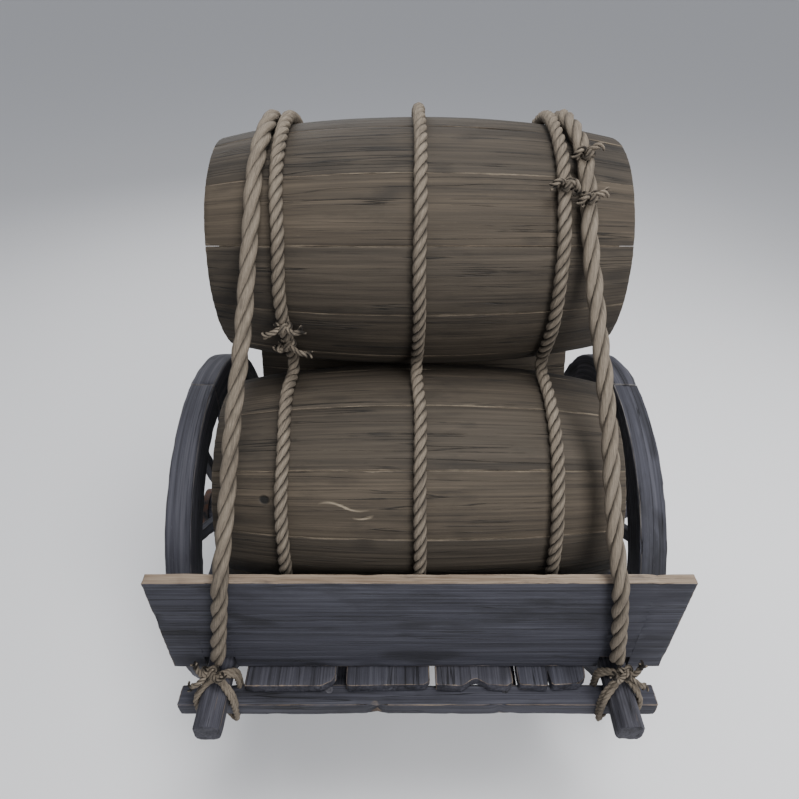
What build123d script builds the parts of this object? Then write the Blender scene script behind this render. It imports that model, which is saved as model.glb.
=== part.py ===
"""Two-wheeled timber cart for moving barrels, loaded with three roped barrels.

Millimetres. +Z is up, +X is to the right and -Y is the end with the visible
pole ends. The origin is on the ground, midway between the wheels.
"""

import os
from math import asin, atan2, cos, degrees, hypot, pi, radians, sin, sqrt, tan

from build123d import *

# ---------------------------------------------------------------- clearances
GAP = 0.3                  # between faces that only lie against each other
FIT = 0.08                 # radial play of a shaft or tenon in its hole
STAVE_GAP = 0.5            # joint between two staves
NAVE_PLAY = 0.5            # end play of a nave between its washers
HEAD_SHY = 0.5             # barrel head short of its groove's bottom
TONGUE_SHY = 1.0           # spoke tongue short of its hole's bottom
OVERCUT = 10.0             # cutting shapes run this far past the faces they cut
OVERLAP = 4.0              # shapes joined into one solid share this much

# ---------------------------------------------------------------- chamfers
TIMBER_CHAMFER = 5.0
BEAM_CHAMFER = 3.0
BOARD_CHAMFER = 2.0
BUNG_CHAMFER = 3.0
ARM_CHAMFER = 6.0
PIN_CHAMFER = 2.0

# ---------------------------------------------------------------- barrels
BARREL_LENGTH = 990.0
BILGE_RADIUS = 320.0       # outside radius at the middle
BILGE_ARC = 3000.0         # radius of the middle part of a stave's curve
BILGE_HALF = 260.0         # half length of that middle part
QUARTER_ARC = 1570.0       # radius of the curve towards the ends
STAVE_COUNT = 12
STAVE_THICK = 24.0
HEAD_THICK = 20.0
HEAD_INSET = 30.0          # from the stave ends to the head's outer face
CROZE_DEPTH = 5.0          # groove that holds the head
HEAD_BOARDS = 4
BUNG_RADIUS = 20.0
BUNG_FLANGE = 27.0
BUNG_DROP = 165.0          # bung centre below the barrel's axis
BUNG_PROUD = 14.0
BUNG_THROUGH = 14.0        # bung beyond the head's inner face
TOP_SEAM_ANGLE = 23.5      # a stave joint, degrees above the front
LOW_SEAM_ANGLE = 17.6
BARREL_SPACE = 23.0        # from each lower barrel's bilge to the wheel axis

# ---------------------------------------------------------------- ropes
LASHING_RADIUS = 16.0
TIE_RADIUS = 20.0
CORD_RADIUS = 8.0          # thin rope round the pole and crossbeam
LASHING_INSET = 175.0      # the outer lashings, from the barrels' ends
VALLEY_BEND = 30.0         # lashing's turn between two barrels
TIE_EDGE_BEND = 45.0       # tie rope's turn over a board
TIE_SPACE = 4.0            # between tie rope and lashing at the top
TIE_SHOULDER_OUT = 20.0    # tie rope's shoulder outward of its crown
TIE_BOARD_IN = 57.0        # tie rope on the board's edge, inward of the pole
TIE_FOOT_IN = 6.0          # tie rope's foot, inward of the pole's middle
STOPPER_PROUD = 11.0       # knot under a plank, beyond the rope all round
ROPE_ROOM = 1.0            # between a lashing and an end board
CORD_BEND = 12.0

# ---------------------------------------------------------------- wheels
WHEEL_RADIUS = 580.0
FELLOE_DEPTH = 112.0
FELLOE_WIDTH = 80.0
FELLOE_COUNT = 5
FELLOE_GAP = 0.6
FELLOE_EDGE = 7.0          # worn edge of the rim
WHEEL_SPACE = 81.0         # between a side pole and the rim
SPOKES_PER_FELLOE = 2
SPOKE_WIDE = 46.0          # across the wheel plane at the nave
SPOKE_RIM_WIDE = 34.0
SPOKE_THICK = 32.0
TONGUE_RADIUS = 13.0
TONGUE_LENGTH = 60.0
TENON_LENGTH = 34.0
NAVE_RADIUS = 88.0
NAVE_END_RADIUS = 72.0
NAVE_LENGTH = 194.0
NAVE_INBOARD = 103.5       # inner nave end from the wheel's middle plane
NAVE_BAND_INSET = 2.0
NAVE_BAND_WIDE = 22.0
NAVE_BAND_THICK = 5.0
BAND_LAND = 4.0            # straight part of the nave past each band
BOX_WALL = 6.0
ARM_RADIUS = 32.0
WASHER_PROUD = 24.0        # washer beyond the arm all round
WASHER_THICK = 6.0
LINCHPIN_RADIUS = 7.0
LINCHPIN_HEAD = 15.0
LINCHPIN_HEAD_HIGH = 12.0
LINCHPIN_SPACE = 1.0       # between a linchpin and its washer
LINCHPIN_BELOW = 52.0
LINCHPIN_ABOVE = 60.0
ARM_END = 22.0             # arm beyond the linchpin

# ---------------------------------------------------------------- cart frame
PLANK_THICK = 32.0
PLANK_PROUD = 51.0         # plank ends beyond an end board's outer face
PLANK_EDGES = ((-448.0, -210.0), (-188.0, 36.0), (46.0, 251.0), (259.0, 443.0))
PLANK_EDGES_HALF = 448.0   # half width of the bed that those edges fill
POLE_SPACE = 27.0          # between the planks and a side pole
CROSSBEAM_HIGH = 52.0
CROSSBEAM_WIDE = 60.0
CROSSBEAM_PROUD = 85.0     # end crossbeams beyond an end board's outer face
CROSSBEAM_PAST_POLE = 109.0
KNOT_SPACE = 9.629         # between a lashing's knot and an inner crossbeam
INNER_BEAM_WIDE = 90.0
INNER_BEAM_PAST_POLE = 48.0
BEARER_X = 230.0
BEARER_WIDE = 90.0
BEARER_HIGH = 60.0
BEARER_SHORT = 11.0        # bearer ends behind the crossbeam's outer face
BEARER_SCARF = 29.0        # slope cut back under each bearer end
END_PEG_IN = 13.0          # end pegs, inward of the crossbeam's middle
AXLE_BEAM_WIDE = 100.0
AXLE_BEAM_HIGH = 82.0
AXLE_BEAM_EDGE = 8.0
POLE_PAST_BARREL = 17.0    # a pole's middle beyond the barrels' ends
POLE_ACROSS = 74.0
POLE_PROUD = 174.0         # pole ends beyond an end board's outer face
BOARD_PAST_POLE = 129.0
BOARD_THICK = 30.0
BOARD_HIGH = 360.0
NOTCH_CLEAR = 3.0          # board notch round a pole
PEG_RADIUS = 10.0
PEG_DEPTH = 32.0           # crossbeam peg below the top of a bearer
PLANK_PEG_RADIUS = 8.0
PLANK_PEG_SHORT = 12.0     # plank peg above the crossbeam's underside
CHOCK_X = (200.0, 260.0)
CHOCK_CONTACT = 40.0       # degrees from straight down
CHOCK_RISE = 20.0          # chock above its contact line
CHOCK_HEEL = 20.0          # outer chock beyond its contact line

# ---------------------------------------------------------------- props
PROP_THICK = 45.0
PROP_WIDE = 60.0
PROP_PIVOT_Y = 250.0
PROP_FOOT_Y = 220.0
PROP_PIN_RADIUS = 9.0
PROP_SIDE_GAP = 1.5
PIN_PROUD = 8.0            # pivot pin beyond prop and bearer
STOP_SHORT = 30.0          # stop peg's blind depth short of the bearer's far face
STOP_RADIUS = 7.0
STOP_DROP = 19.0           # stop peg below the pivot
STOP_CLEAR = 0.4

# ---------------------------------------------------------------- worked out
AXLE_Z = WHEEL_RADIUS
AXLE_BEAM_LOW = AXLE_Z - AXLE_BEAM_HIGH / 2
BEARER_UNDER = AXLE_Z + AXLE_BEAM_HIGH / 2
BEAM_UNDER = BEARER_UNDER + BEARER_HIGH
PLANK_UNDER = BEAM_UNDER + CROSSBEAM_HIGH
BED_HEIGHT = PLANK_UNDER + PLANK_THICK
BARREL_SPREAD = BILGE_RADIUS + BARREL_SPACE
LOW_BARREL_Z = BED_HEIGHT + BILGE_RADIUS + GAP
BARREL_REST = 2 * BILGE_RADIUS + GAP
TOP_BARREL_Z = LOW_BARREL_Z + sqrt(BARREL_REST**2 - BARREL_SPREAD**2)
BOARD_BACK = BARREL_SPREAD + BILGE_RADIUS + 2 * LASHING_RADIUS + ROPE_ROOM
BOARD_FRONT = BOARD_BACK + BOARD_THICK
BOARD_TOP = BED_HEIGHT + BOARD_HIGH
PLANK_REACH = BOARD_FRONT + PLANK_PROUD
CROSSBEAM_REACH = BOARD_FRONT + CROSSBEAM_PROUD
BEARER_REACH = CROSSBEAM_REACH - BEARER_SHORT
POLE_REACH = BOARD_FRONT + POLE_PROUD
POLE_X = BARREL_LENGTH / 2 + POLE_PAST_BARREL
CROSSBEAM_HALF = POLE_X + CROSSBEAM_PAST_POLE
INNER_BEAM_HALF = POLE_X + INNER_BEAM_PAST_POLE
BOARD_HALF = POLE_X + BOARD_PAST_POLE
BED_SCALE = (POLE_X - POLE_ACROSS / 2 - POLE_SPACE) / PLANK_EDGES_HALF
LASHING_X = BARREL_LENGTH / 2 - LASHING_INSET
STOPPER_RADIUS = LASHING_RADIUS + STOPPER_PROUD
TIE_TOP_X = LASHING_X + LASHING_RADIUS + TIE_RADIUS + TIE_SPACE
TIE_SHOULDER_X = TIE_TOP_X + TIE_SHOULDER_OUT
TIE_BOARD_X = POLE_X - TIE_BOARD_IN
TIE_FOOT_X = POLE_X - TIE_FOOT_IN
POLE_TOP = PLANK_UNDER + POLE_ACROSS
LASH_CENTRE_Y = CROSSBEAM_REACH - CROSSBEAM_WIDE / 2
END_PEG_Y = LASH_CENTRE_Y - END_PEG_IN
HALF_TRACK = POLE_X + POLE_ACROSS / 2 + WHEEL_SPACE + FELLOE_WIDTH / 2
NAVE_INNER = HALF_TRACK - NAVE_INBOARD
AXLE_BEAM_HALF = NAVE_INNER - NAVE_PLAY - WASHER_THICK
WASHER_RADIUS = ARM_RADIUS + WASHER_PROUD
NAVE_OUTER = NAVE_INNER + NAVE_LENGTH
WASHER_OUTER = NAVE_OUTER + NAVE_PLAY + WASHER_THICK
LINCHPIN_X = WASHER_OUTER + LINCHPIN_RADIUS + LINCHPIN_SPACE
ARM_TIP = LINCHPIN_X + ARM_END
PIVOT_Z = BEARER_UNDER + BEARER_HIGH / 2


def save(name, *solids):
    """Write one named node; several solids stay separate."""
    pieces = [piece for solid in solids for piece in solid.solids()]
    shape = pieces[0] if len(pieces) == 1 else Compound(children=pieces)
    export_step(shape, f"parts/{name}.step")


def block(x0, x1, y0, y1, z0, z1):
    """A box between two corners."""
    centre = ((x0 + x1) / 2, (y0 + y1) / 2, (z0 + z1) / 2)
    return Pos(*centre) * Box(abs(x1 - x0), abs(y1 - y0), abs(z1 - z0))


def rod(start, end, radius):
    """A round bar from one point to another."""
    start, end = Vector(*start), Vector(*end)
    along = end - start
    return Solid.make_cylinder(radius, along.length, Plane(start, z_dir=along))


def ring(outer, inner, start, end):
    """A round sleeve from one point to another."""
    return rod(start, end, outer) - rod(start, end, inner)


def polygon_prism(points, plane, thickness):
    """A prism on a plane from its outline; the outline's plane is its middle."""
    face = plane * make_face(Polyline(*points, close=True))
    return extrude(face, thickness / 2, both=True)


# ---------------------------------------------------------------- rope tubes
def tube(edges, radius):
    """Sweep a round section along joined edges."""
    path = Wire(edges)
    start = path @ 0
    section = Plane(start, z_dir=path % 0) * Circle(radius)
    body = sweep(section, path=path)
    shortfall = abs(body.volume / (pi * radius**2 * path.length) - 1)
    if shortfall > 0.01:
        print(f"tube volume is off by {shortfall:.3f}")
    return body, path.length


def rounded_edges(points, radii, closed=False):
    """Straight runs joined by tangent arcs, one radius for each corner."""
    points = [Vector(*point) for point in points]
    count = len(points)
    corners = range(count) if closed else range(1, count - 1)
    arcs = {}
    for index, radius in zip(corners, radii):
        corner = points[index]
        back = (points[index - 1] - corner).normalized()
        ahead = (points[(index + 1) % count] - corner).normalized()
        turn = pi - radians(back.get_angle(ahead))
        reach = radius * tan(turn / 2)
        bisector = (back + ahead).normalized()
        middle = corner + bisector * (radius / cos(turn / 2) - radius)
        arcs[index] = (corner + back * reach, middle, corner + ahead * reach)
    edges = []
    place = arcs[count - 1][2] if closed else points[0]
    for index in range(count):
        if index in arcs:
            start, middle, end = arcs[index]
            if (start - place).length > 0.01:
                edges.append(Edge.make_line(place, start))
            edges.append(Edge.make_three_point_arc(start, middle, end))
            place = end
    if not closed:
        edges.append(Edge.make_line(place, points[-1]))
    return edges


def arc_in_plane(x, centre, radius, start, end):
    """An arc in the plane at x, about a centre (y, z), between two angles."""
    def point(angle):
        turn = radians(angle)
        return (x, centre[0] + radius * cos(turn), centre[1] + radius * sin(turn))
    return Edge.make_three_point_arc(point(start), point((start + end) / 2), point(end))


# ---------------------------------------------------------------- barrels
def barrel_radius(x):
    """Outside radius of a barrel at a distance from its middle."""
    x = abs(x)
    middle = BILGE_RADIUS - BILGE_ARC
    if x <= BILGE_HALF:
        return middle + sqrt(BILGE_ARC**2 - x**2)
    rise = sqrt(BILGE_ARC**2 - BILGE_HALF**2)
    centre_x = BILGE_HALF * (1 - QUARTER_ARC / BILGE_ARC)
    centre_r = middle + rise * (1 - QUARTER_ARC / BILGE_ARC)
    return centre_r + sqrt(QUARTER_ARC**2 - (x - centre_x)**2)


def profile_edges(inset):
    """A barrel's lengthwise curve, moved in by an inset, from -X to +X."""
    half = BARREL_LENGTH / 2
    stations = (-half, -(half + BILGE_HALF) / 2, -BILGE_HALF, 0.0,
                BILGE_HALF, (half + BILGE_HALF) / 2, half)
    points = [(x, barrel_radius(x) - inset) for x in stations]
    return [Edge.make_three_point_arc(*points[i:i + 3]) for i in (0, 2, 4)]


def stave():
    """One stave about the X axis, with the groove for the heads."""
    outer = profile_edges(0.0)
    inner = profile_edges(STAVE_THICK)
    ends = [Edge.make_line(outer[0] @ 0, inner[0] @ 0),
            Edge.make_line(outer[-1] @ 1, inner[-1] @ 1)]
    face = make_face(Wire(outer + ends + inner))
    groove_x = BARREL_LENGTH / 2 - HEAD_INSET - HEAD_THICK / 2
    groove_r = barrel_radius(groove_x) - STAVE_THICK
    slot = Rectangle(HEAD_THICK + 2 * FIT, 2 * CROZE_DEPTH)
    face -= Pos(groove_x, groove_r) * slot
    face -= Pos(-groove_x, groove_r) * slot
    joint = degrees(STAVE_GAP / BILGE_RADIUS)
    return revolve(face, Axis.X, 360 / STAVE_COUNT - joint)


def barrel(name, y, z, seam_angle):
    """Staves, two heads of four boards and a bung, lying along X."""
    place = Pos(0, y, z)
    one = stave()
    step = 360 / STAVE_COUNT
    staves = [place * Rot(-seam_angle - index * step, 0, 0) * one for index in range(STAVE_COUNT)]
    save(f"{name}_staves", *staves)

    face_x = BARREL_LENGTH / 2 - HEAD_INSET
    radius = barrel_radius(face_x - HEAD_THICK / 2) - STAVE_THICK + CROZE_DEPTH - HEAD_SHY
    width = 2 * radius / HEAD_BOARDS
    bung_hole = rod((face_x - HEAD_THICK - OVERCUT, 0, -BUNG_DROP), (face_x + OVERCUT, 0, -BUNG_DROP),
                    BUNG_RADIUS + FIT)
    for side, sign in (("left", -1), ("right", 1)):
        disc = rod((sign * (face_x - HEAD_THICK), 0, 0), (sign * face_x, 0, 0), radius)
        if sign > 0:
            disc -= bung_hole
        boards = []
        for index in range(HEAD_BOARDS):
            low = -radius + index * width + STAVE_GAP / 2
            slab = block(-face_x - 1, face_x + 1, -radius, radius, low, low + width - STAVE_GAP)
            boards.append(place * (disc & slab))
        save(f"{name}_{side}_head", *boards)

    shank = rod((face_x - HEAD_THICK - BUNG_THROUGH, 0, -BUNG_DROP), (face_x + GAP, 0, -BUNG_DROP),
                BUNG_RADIUS)
    flange = rod((face_x + GAP, 0, -BUNG_DROP), (face_x + BUNG_PROUD, 0, -BUNG_DROP), BUNG_FLANGE)
    flange = chamfer(flange.edges().group_by(Axis.X)[-1], BUNG_CHAMFER)
    save(f"{name}_bung", place * (shank + flange))


# ---------------------------------------------------------------- ropes
def lashing_y(x):
    """Distance of a lashing's upright run from the wheel axis."""
    return BARREL_SPREAD + barrel_radius(x) + LASHING_RADIUS + GAP


def lashing(name, x):
    """A rope from a plank, over all three barrels, to the same plank."""
    wrap = barrel_radius(x) + LASHING_RADIUS + GAP
    low, top = (-BARREL_SPREAD, LOW_BARREL_Z), (0.0, TOP_BARREL_Z)
    apart = hypot(top[0] - low[0], top[1] - low[1])
    lean = degrees(atan2(top[1] - low[1], top[0] - low[0]))
    spread = degrees(atan2(sqrt((wrap + VALLEY_BEND)**2 - (apart / 2)**2), apart / 2))
    low_end, top_end = lean + spread, lean + 180 - spread
    reach = radians(low_end)
    valley = (low[0] + (wrap + VALLEY_BEND) * cos(reach), low[1] + (wrap + VALLEY_BEND) * sin(reach))
    rear_low, rear_valley = (-low[0], low[1]), (-valley[0], valley[1])
    knot_z = PLANK_UNDER - STOPPER_RADIUS - GAP
    side = lashing_y(x)
    edges = [
        Edge.make_line((x, -side, knot_z), (x, -side, LOW_BARREL_Z)),
        arc_in_plane(x, low, wrap, 180, low_end),
        arc_in_plane(x, valley, VALLEY_BEND, low_end - 180, top_end - 180),
        arc_in_plane(x, top, wrap, top_end, 180 - top_end),
        arc_in_plane(x, rear_valley, VALLEY_BEND, -top_end, -low_end),
        arc_in_plane(x, rear_low, wrap, 180 - low_end, 0),
        Edge.make_line((x, side, LOW_BARREL_Z), (x, side, knot_z)),
    ]
    rope, length = tube(edges, LASHING_RADIUS)
    for end in (-side, side):
        rope += Pos(x, end, knot_z) * Sphere(STOPPER_RADIUS)
    save(name, rope)
    print(f"{name}: {length:.0f} mm long, least radius {VALLEY_BEND:.0f}")


def tie_rope(name, sign):
    """A rope from one pole lashing, over a board and the top barrel, to the other."""
    wrap = barrel_radius(TIE_TOP_X) + TIE_RADIUS + GAP
    bend_y = BOARD_FRONT + TIE_RADIUS + GAP - TIE_EDGE_BEND
    rise = TOP_BARREL_Z - BOARD_TOP
    slope = atan2(rise, bend_y) + asin((wrap - TIE_EDGE_BEND) / hypot(rise, bend_y))
    turn = pi / 2 - slope
    corner = TIE_EDGE_BEND / cos(turn / 2)
    board_y = -bend_y - corner * cos(turn / 2)
    board_z = BOARD_TOP + corner * sin(turn / 2)
    step = 2 * slope / 3
    reach = wrap / cos(step / 2)
    foot_z = POLE_TOP + 4 * CORD_RADIUS + 3 * GAP
    foot = (sign * TIE_FOOT_X, -BOARD_FRONT - TIE_RADIUS - GAP, foot_z)
    edge = (sign * TIE_BOARD_X, board_y, board_z)
    shoulder = (sign * TIE_SHOULDER_X, -reach * sin(step), TOP_BARREL_Z + reach * cos(step))
    crown = (sign * TIE_TOP_X, 0.0, TOP_BARREL_Z + reach)
    front = [foot, edge, shoulder]
    back = [(x, -y, z) for x, y, z in reversed(front)]
    radii = (TIE_EDGE_BEND, wrap * 0.99, wrap * 0.99, wrap * 0.99, TIE_EDGE_BEND)
    rope, length = tube(rounded_edges(front + [crown] + back, radii), TIE_RADIUS)
    save(name, rope)
    print(f"{name}: {length:.0f} mm long, radii {[round(value) for value in radii]}")


def pole_lashing(name, side, end):
    """Two crossed loops of thin rope round a pole and its crossbeam."""
    clear_x = POLE_ACROSS / 2 + CORD_RADIUS + GAP
    clear_y = CROSSBEAM_WIDE / 2 + CORD_RADIUS + GAP
    out = hypot(clear_x, clear_y)
    facet = POLE_ACROSS * tan(pi / 8) / 2
    flat = facet * out / clear_x
    shoulder = POLE_TOP - (POLE_ACROSS / 2 - facet) + 2 * CORD_RADIUS
    loops = []
    for layer, turn in enumerate((1, -1)):
        lift = CORD_RADIUS + GAP + layer * (2 * CORD_RADIUS + GAP)
        top, low = POLE_TOP + lift, BEAM_UNDER - lift
        outline = [(flat, top), (out, shoulder), (out, low), (-out, low), (-out, shoulder), (-flat, top)]
        points = [
            (side * POLE_X + s * clear_x / out, end * LASH_CENTRE_Y + turn * s * clear_y / out, z)
            for s, z in outline
        ]
        loop, length = tube(rounded_edges(points, [CORD_BEND] * len(points), closed=True), CORD_RADIUS)
        loops.append(loop)
    save(name, *loops)
    print(f"{name}: loops {length:.0f} mm round")


# ---------------------------------------------------------------- wheels
def wheel(side, sign):
    """Nave, spokes, felloes, nave bands and axle box of one wheel."""
    step = 360 / FELLOE_COUNT
    inner = WHEEL_RADIUS - FELLOE_DEPTH
    place = Pos(sign * HALF_TRACK, 0, AXLE_Z)
    spoke_count = FELLOE_COUNT * SPOKES_PER_FELLOE
    spoke_angles = [(index + 0.5) * 360 / spoke_count for index in range(spoke_count)]

    bar_start = NAVE_RADIUS + GAP
    bar_end = sqrt(inner**2 - (SPOKE_RIM_WIDE / 2)**2) - GAP
    bar_outline = [(-SPOKE_WIDE / 2, bar_start - OVERLAP), (SPOKE_WIDE / 2, bar_start - OVERLAP),
                   (SPOKE_RIM_WIDE / 2, bar_end), (-SPOKE_RIM_WIDE / 2, bar_end)]
    bar = polygon_prism(bar_outline, Plane.YZ, SPOKE_THICK)
    bar = chamfer(bar.edges().filter_by(lambda e: e.length > inner / 2), TIMBER_CHAMFER)
    bar -= rod((-NAVE_LENGTH, 0, 0), (NAVE_LENGTH, 0, 0), NAVE_RADIUS + GAP)
    tenon = block(-SPOKE_THICK / 3, SPOKE_THICK / 3, -SPOKE_WIDE / 3, SPOKE_WIDE / 3,
                  NAVE_RADIUS - TENON_LENGTH, bar_start + OVERLAP / 2)
    tongue = rod((0, 0, inner - OVERLAP / 2), (0, 0, inner + TONGUE_LENGTH), TONGUE_RADIUS)
    spoke = bar + tenon + tongue
    save(f"{side}_spokes", *[place * Rot(angle, 0, 0) * spoke for angle in spoke_angles])

    blank = ring(WHEEL_RADIUS, inner, (-FELLOE_WIDTH / 2, 0, 0), (FELLOE_WIDTH / 2, 0, 0))
    blank = chamfer(blank.edges().filter_by(GeomType.CIRCLE), FELLOE_EDGE)
    hole = rod((0, 0, inner - OVERCUT), (0, 0, inner + TONGUE_LENGTH + TONGUE_SHY), TONGUE_RADIUS + FIT)
    half = radians(step / 2)
    far = 2 * WHEEL_RADIUS
    trim = FELLOE_GAP / 2 / sin(half)
    wedge = polygon_prism([(0, trim), (-far * sin(half), trim + far * cos(half)),
                           (far * sin(half), trim + far * cos(half))], Plane.YZ, 2 * FELLOE_WIDTH)
    felloe = blank & wedge
    for index in range(SPOKES_PER_FELLOE):
        offset = (index + 0.5) * step / SPOKES_PER_FELLOE - step / 2
        felloe -= Rot(offset, 0, 0) * hole
    felloes = [place * Rot((index + 0.5) * step, 0, 0) * felloe for index in range(FELLOE_COUNT)]
    save(f"{side}_felloes", *felloes)

    nave_start, nave_end = NAVE_INNER - HALF_TRACK, NAVE_OUTER - HALF_TRACK
    waist = SPOKE_THICK
    outline = [(nave_start, 0), (nave_start, NAVE_END_RADIUS),
               (nave_start + NAVE_BAND_WIDE + BAND_LAND, NAVE_END_RADIUS), (-waist, NAVE_RADIUS),
               (waist, NAVE_RADIUS), (nave_end - NAVE_BAND_WIDE - BAND_LAND, NAVE_END_RADIUS),
               (nave_end, NAVE_END_RADIUS), (nave_end, 0)]
    nave = revolve(make_face(Polyline(*outline, close=True)), Axis.X)
    bore = ARM_RADIUS + FIT + BOX_WALL
    nave -= rod((nave_start - OVERCUT, 0, 0), (nave_end + OVERCUT, 0, 0), bore + FIT)
    mortise = block(-SPOKE_THICK / 3 - FIT, SPOKE_THICK / 3 + FIT, -SPOKE_WIDE / 3 - FIT,
                    SPOKE_WIDE / 3 + FIT, NAVE_RADIUS - TENON_LENGTH - FIT, NAVE_RADIUS + OVERCUT)
    for angle in spoke_angles:
        nave -= Rot(angle, 0, 0) * mortise
    turned = place * (nave if sign > 0 else mirror(nave, Plane.YZ))
    save(f"{side}_nave", turned)

    bands = []
    for start in (nave_start + NAVE_BAND_INSET, nave_end - NAVE_BAND_INSET - NAVE_BAND_WIDE):
        band = ring(NAVE_END_RADIUS + NAVE_BAND_THICK, NAVE_END_RADIUS + FIT,
                    (start, 0, 0), (start + NAVE_BAND_WIDE, 0, 0))
        bands.append(place * (band if sign > 0 else mirror(band, Plane.YZ)))
    save(f"{side}_nave_bands", *bands)

    box = ring(bore, ARM_RADIUS + FIT, (sign * NAVE_INNER, 0, AXLE_Z), (sign * NAVE_OUTER, 0, AXLE_Z))
    save(f"{side}_axle_box", box)


def axle():
    """The axle tree, its washers and the linchpins."""
    beam = block(-AXLE_BEAM_HALF, AXLE_BEAM_HALF, -AXLE_BEAM_WIDE / 2, AXLE_BEAM_WIDE / 2,
                 AXLE_BEAM_LOW, BEARER_UNDER)
    tree = chamfer(beam.edges().filter_by(Axis.X), AXLE_BEAM_EDGE)
    inner_washers, outer_washers = [], []
    pin_top = AXLE_Z + ARM_RADIUS + LINCHPIN_ABOVE
    for side, sign in (("left", -1), ("right", 1)):
        arm = rod((sign * (AXLE_BEAM_HALF - OVERCUT), 0, AXLE_Z), (sign * ARM_TIP, 0, AXLE_Z), ARM_RADIUS)
        arm = chamfer(arm.edges().filter_by(GeomType.CIRCLE).sort_by(Axis.X)[-1 if sign > 0 else 0], ARM_CHAMFER)
        x = sign * LINCHPIN_X
        arm -= rod((x, 0, AXLE_Z - ARM_RADIUS - OVERCUT), (x, 0, AXLE_Z + ARM_RADIUS + OVERCUT),
                   LINCHPIN_RADIUS + FIT)
        tree += arm
        inner = sign * AXLE_BEAM_HALF
        outer = sign * (NAVE_OUTER + NAVE_PLAY)
        for washers, start in ((inner_washers, inner), (outer_washers, outer)):
            washers.append(ring(WASHER_RADIUS, ARM_RADIUS + FIT, (start, 0, AXLE_Z),
                                (start + sign * WASHER_THICK, 0, AXLE_Z)))
        shank = rod((x, 0, AXLE_Z - ARM_RADIUS - LINCHPIN_BELOW), (x, 0, pin_top), LINCHPIN_RADIUS)
        head = rod((x, 0, AXLE_Z + ARM_RADIUS + GAP), (x, 0, AXLE_Z + ARM_RADIUS + LINCHPIN_HEAD_HIGH), LINCHPIN_HEAD)
        shank = chamfer(shank.edges().filter_by(GeomType.CIRCLE), PIN_CHAMFER)
        head &= block(x - LINCHPIN_RADIUS, x + LINCHPIN_RADIUS, -LINCHPIN_HEAD, LINCHPIN_HEAD, 0, pin_top)
        save(f"{side}_linchpin", shank + head)
    for sign_x in (-1, 1):
        tree -= axle_peg(sign_x, FIT)
    save("axle_tree", tree)
    save("inner_washers", *inner_washers)
    save("outer_washers", *outer_washers)


def axle_peg(sign_x, play=0.0):
    """A peg down through the middle crossbeam and a bearer into the axle tree."""
    x = sign_x * BEARER_X
    return rod((x, 0, AXLE_Z - play), (x, 0, PLANK_UNDER + play), PEG_RADIUS + play)


def beam_peg(sign_x, y, play=0.0):
    """A peg down through a crossbeam into a bearer."""
    x = sign_x * BEARER_X
    return rod((x, y, BEAM_UNDER - PEG_DEPTH - play), (x, y, PLANK_UNDER + play), PEG_RADIUS + play)


def plank_peg(x, y, play=0.0):
    """A peg down through a plank into a crossbeam."""
    return rod((x, y, BEAM_UNDER + PLANK_PEG_SHORT - play), (x, y, BED_HEIGHT + play), PLANK_PEG_RADIUS + play)


# ---------------------------------------------------------------- bed
INNER_BEAM_Y = lashing_y(LASHING_X) - STOPPER_RADIUS - KNOT_SPACE - INNER_BEAM_WIDE / 2
PLANK_PEG_Y = (-INNER_BEAM_Y, 0.0, INNER_BEAM_Y)


def beam_pegs(play=0.0):
    """All pegs between the outer and inner crossbeams and the bearers."""
    rows = (-END_PEG_Y, -INNER_BEAM_Y, INNER_BEAM_Y, END_PEG_Y)
    return [beam_peg(sign, y, play) for y in rows for sign in (-1, 1)]


def plank_pegs(play=0.0):
    """All pegs between the planks and the crossbeams under them."""
    return [plank_peg(BED_SCALE * (low + high) / 2, y, play)
            for low, high in PLANK_EDGES for y in PLANK_PEG_Y]


def planks():
    """Four bed planks with worn ends and the holes for the lashings."""
    reach = PLANK_REACH
    shapes = (
        ((0, 0), (200, 0), (226, 14), (238, 34)),
        ((0, 6), (10, 0), (205, 3), (224, 16)),
        ((0, 4), (70, 0), (96, 17), (110, 20), (138, 3), (186, 0), (205, 12)),
        ((0, 8), (12, 2), (78, 0), (84, 44), (90, 2), (160, 6), (184, 26)),
    )
    for index, (edges, ends) in enumerate(zip(PLANK_EDGES, shapes), start=1):
        low, high = (BED_SCALE * edge for edge in edges)
        front = [(low + x * (high - low) / ends[-1][0], y - reach) for x, y in ends]
        outline = front + [(high, reach - 8), (high - 20, reach), (low + 14, reach), (low, reach - 18)]
        plank = Pos(0, 0, PLANK_UNDER + PLANK_THICK / 2) * polygon_prism(outline, Plane.XY, PLANK_THICK)
        for x in (-LASHING_X, 0.0, LASHING_X):
            if low < x < high:
                for y in (-lashing_y(x), lashing_y(x)):
                    plank -= rod((x, y, PLANK_UNDER - OVERCUT), (x, y, BED_HEIGHT + OVERCUT), LASHING_RADIUS + GAP)
        for y in PLANK_PEG_Y:
            plank -= plank_peg((low + high) / 2, y, FIT)
        save(f"bed_plank_{index}", plank)


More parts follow.
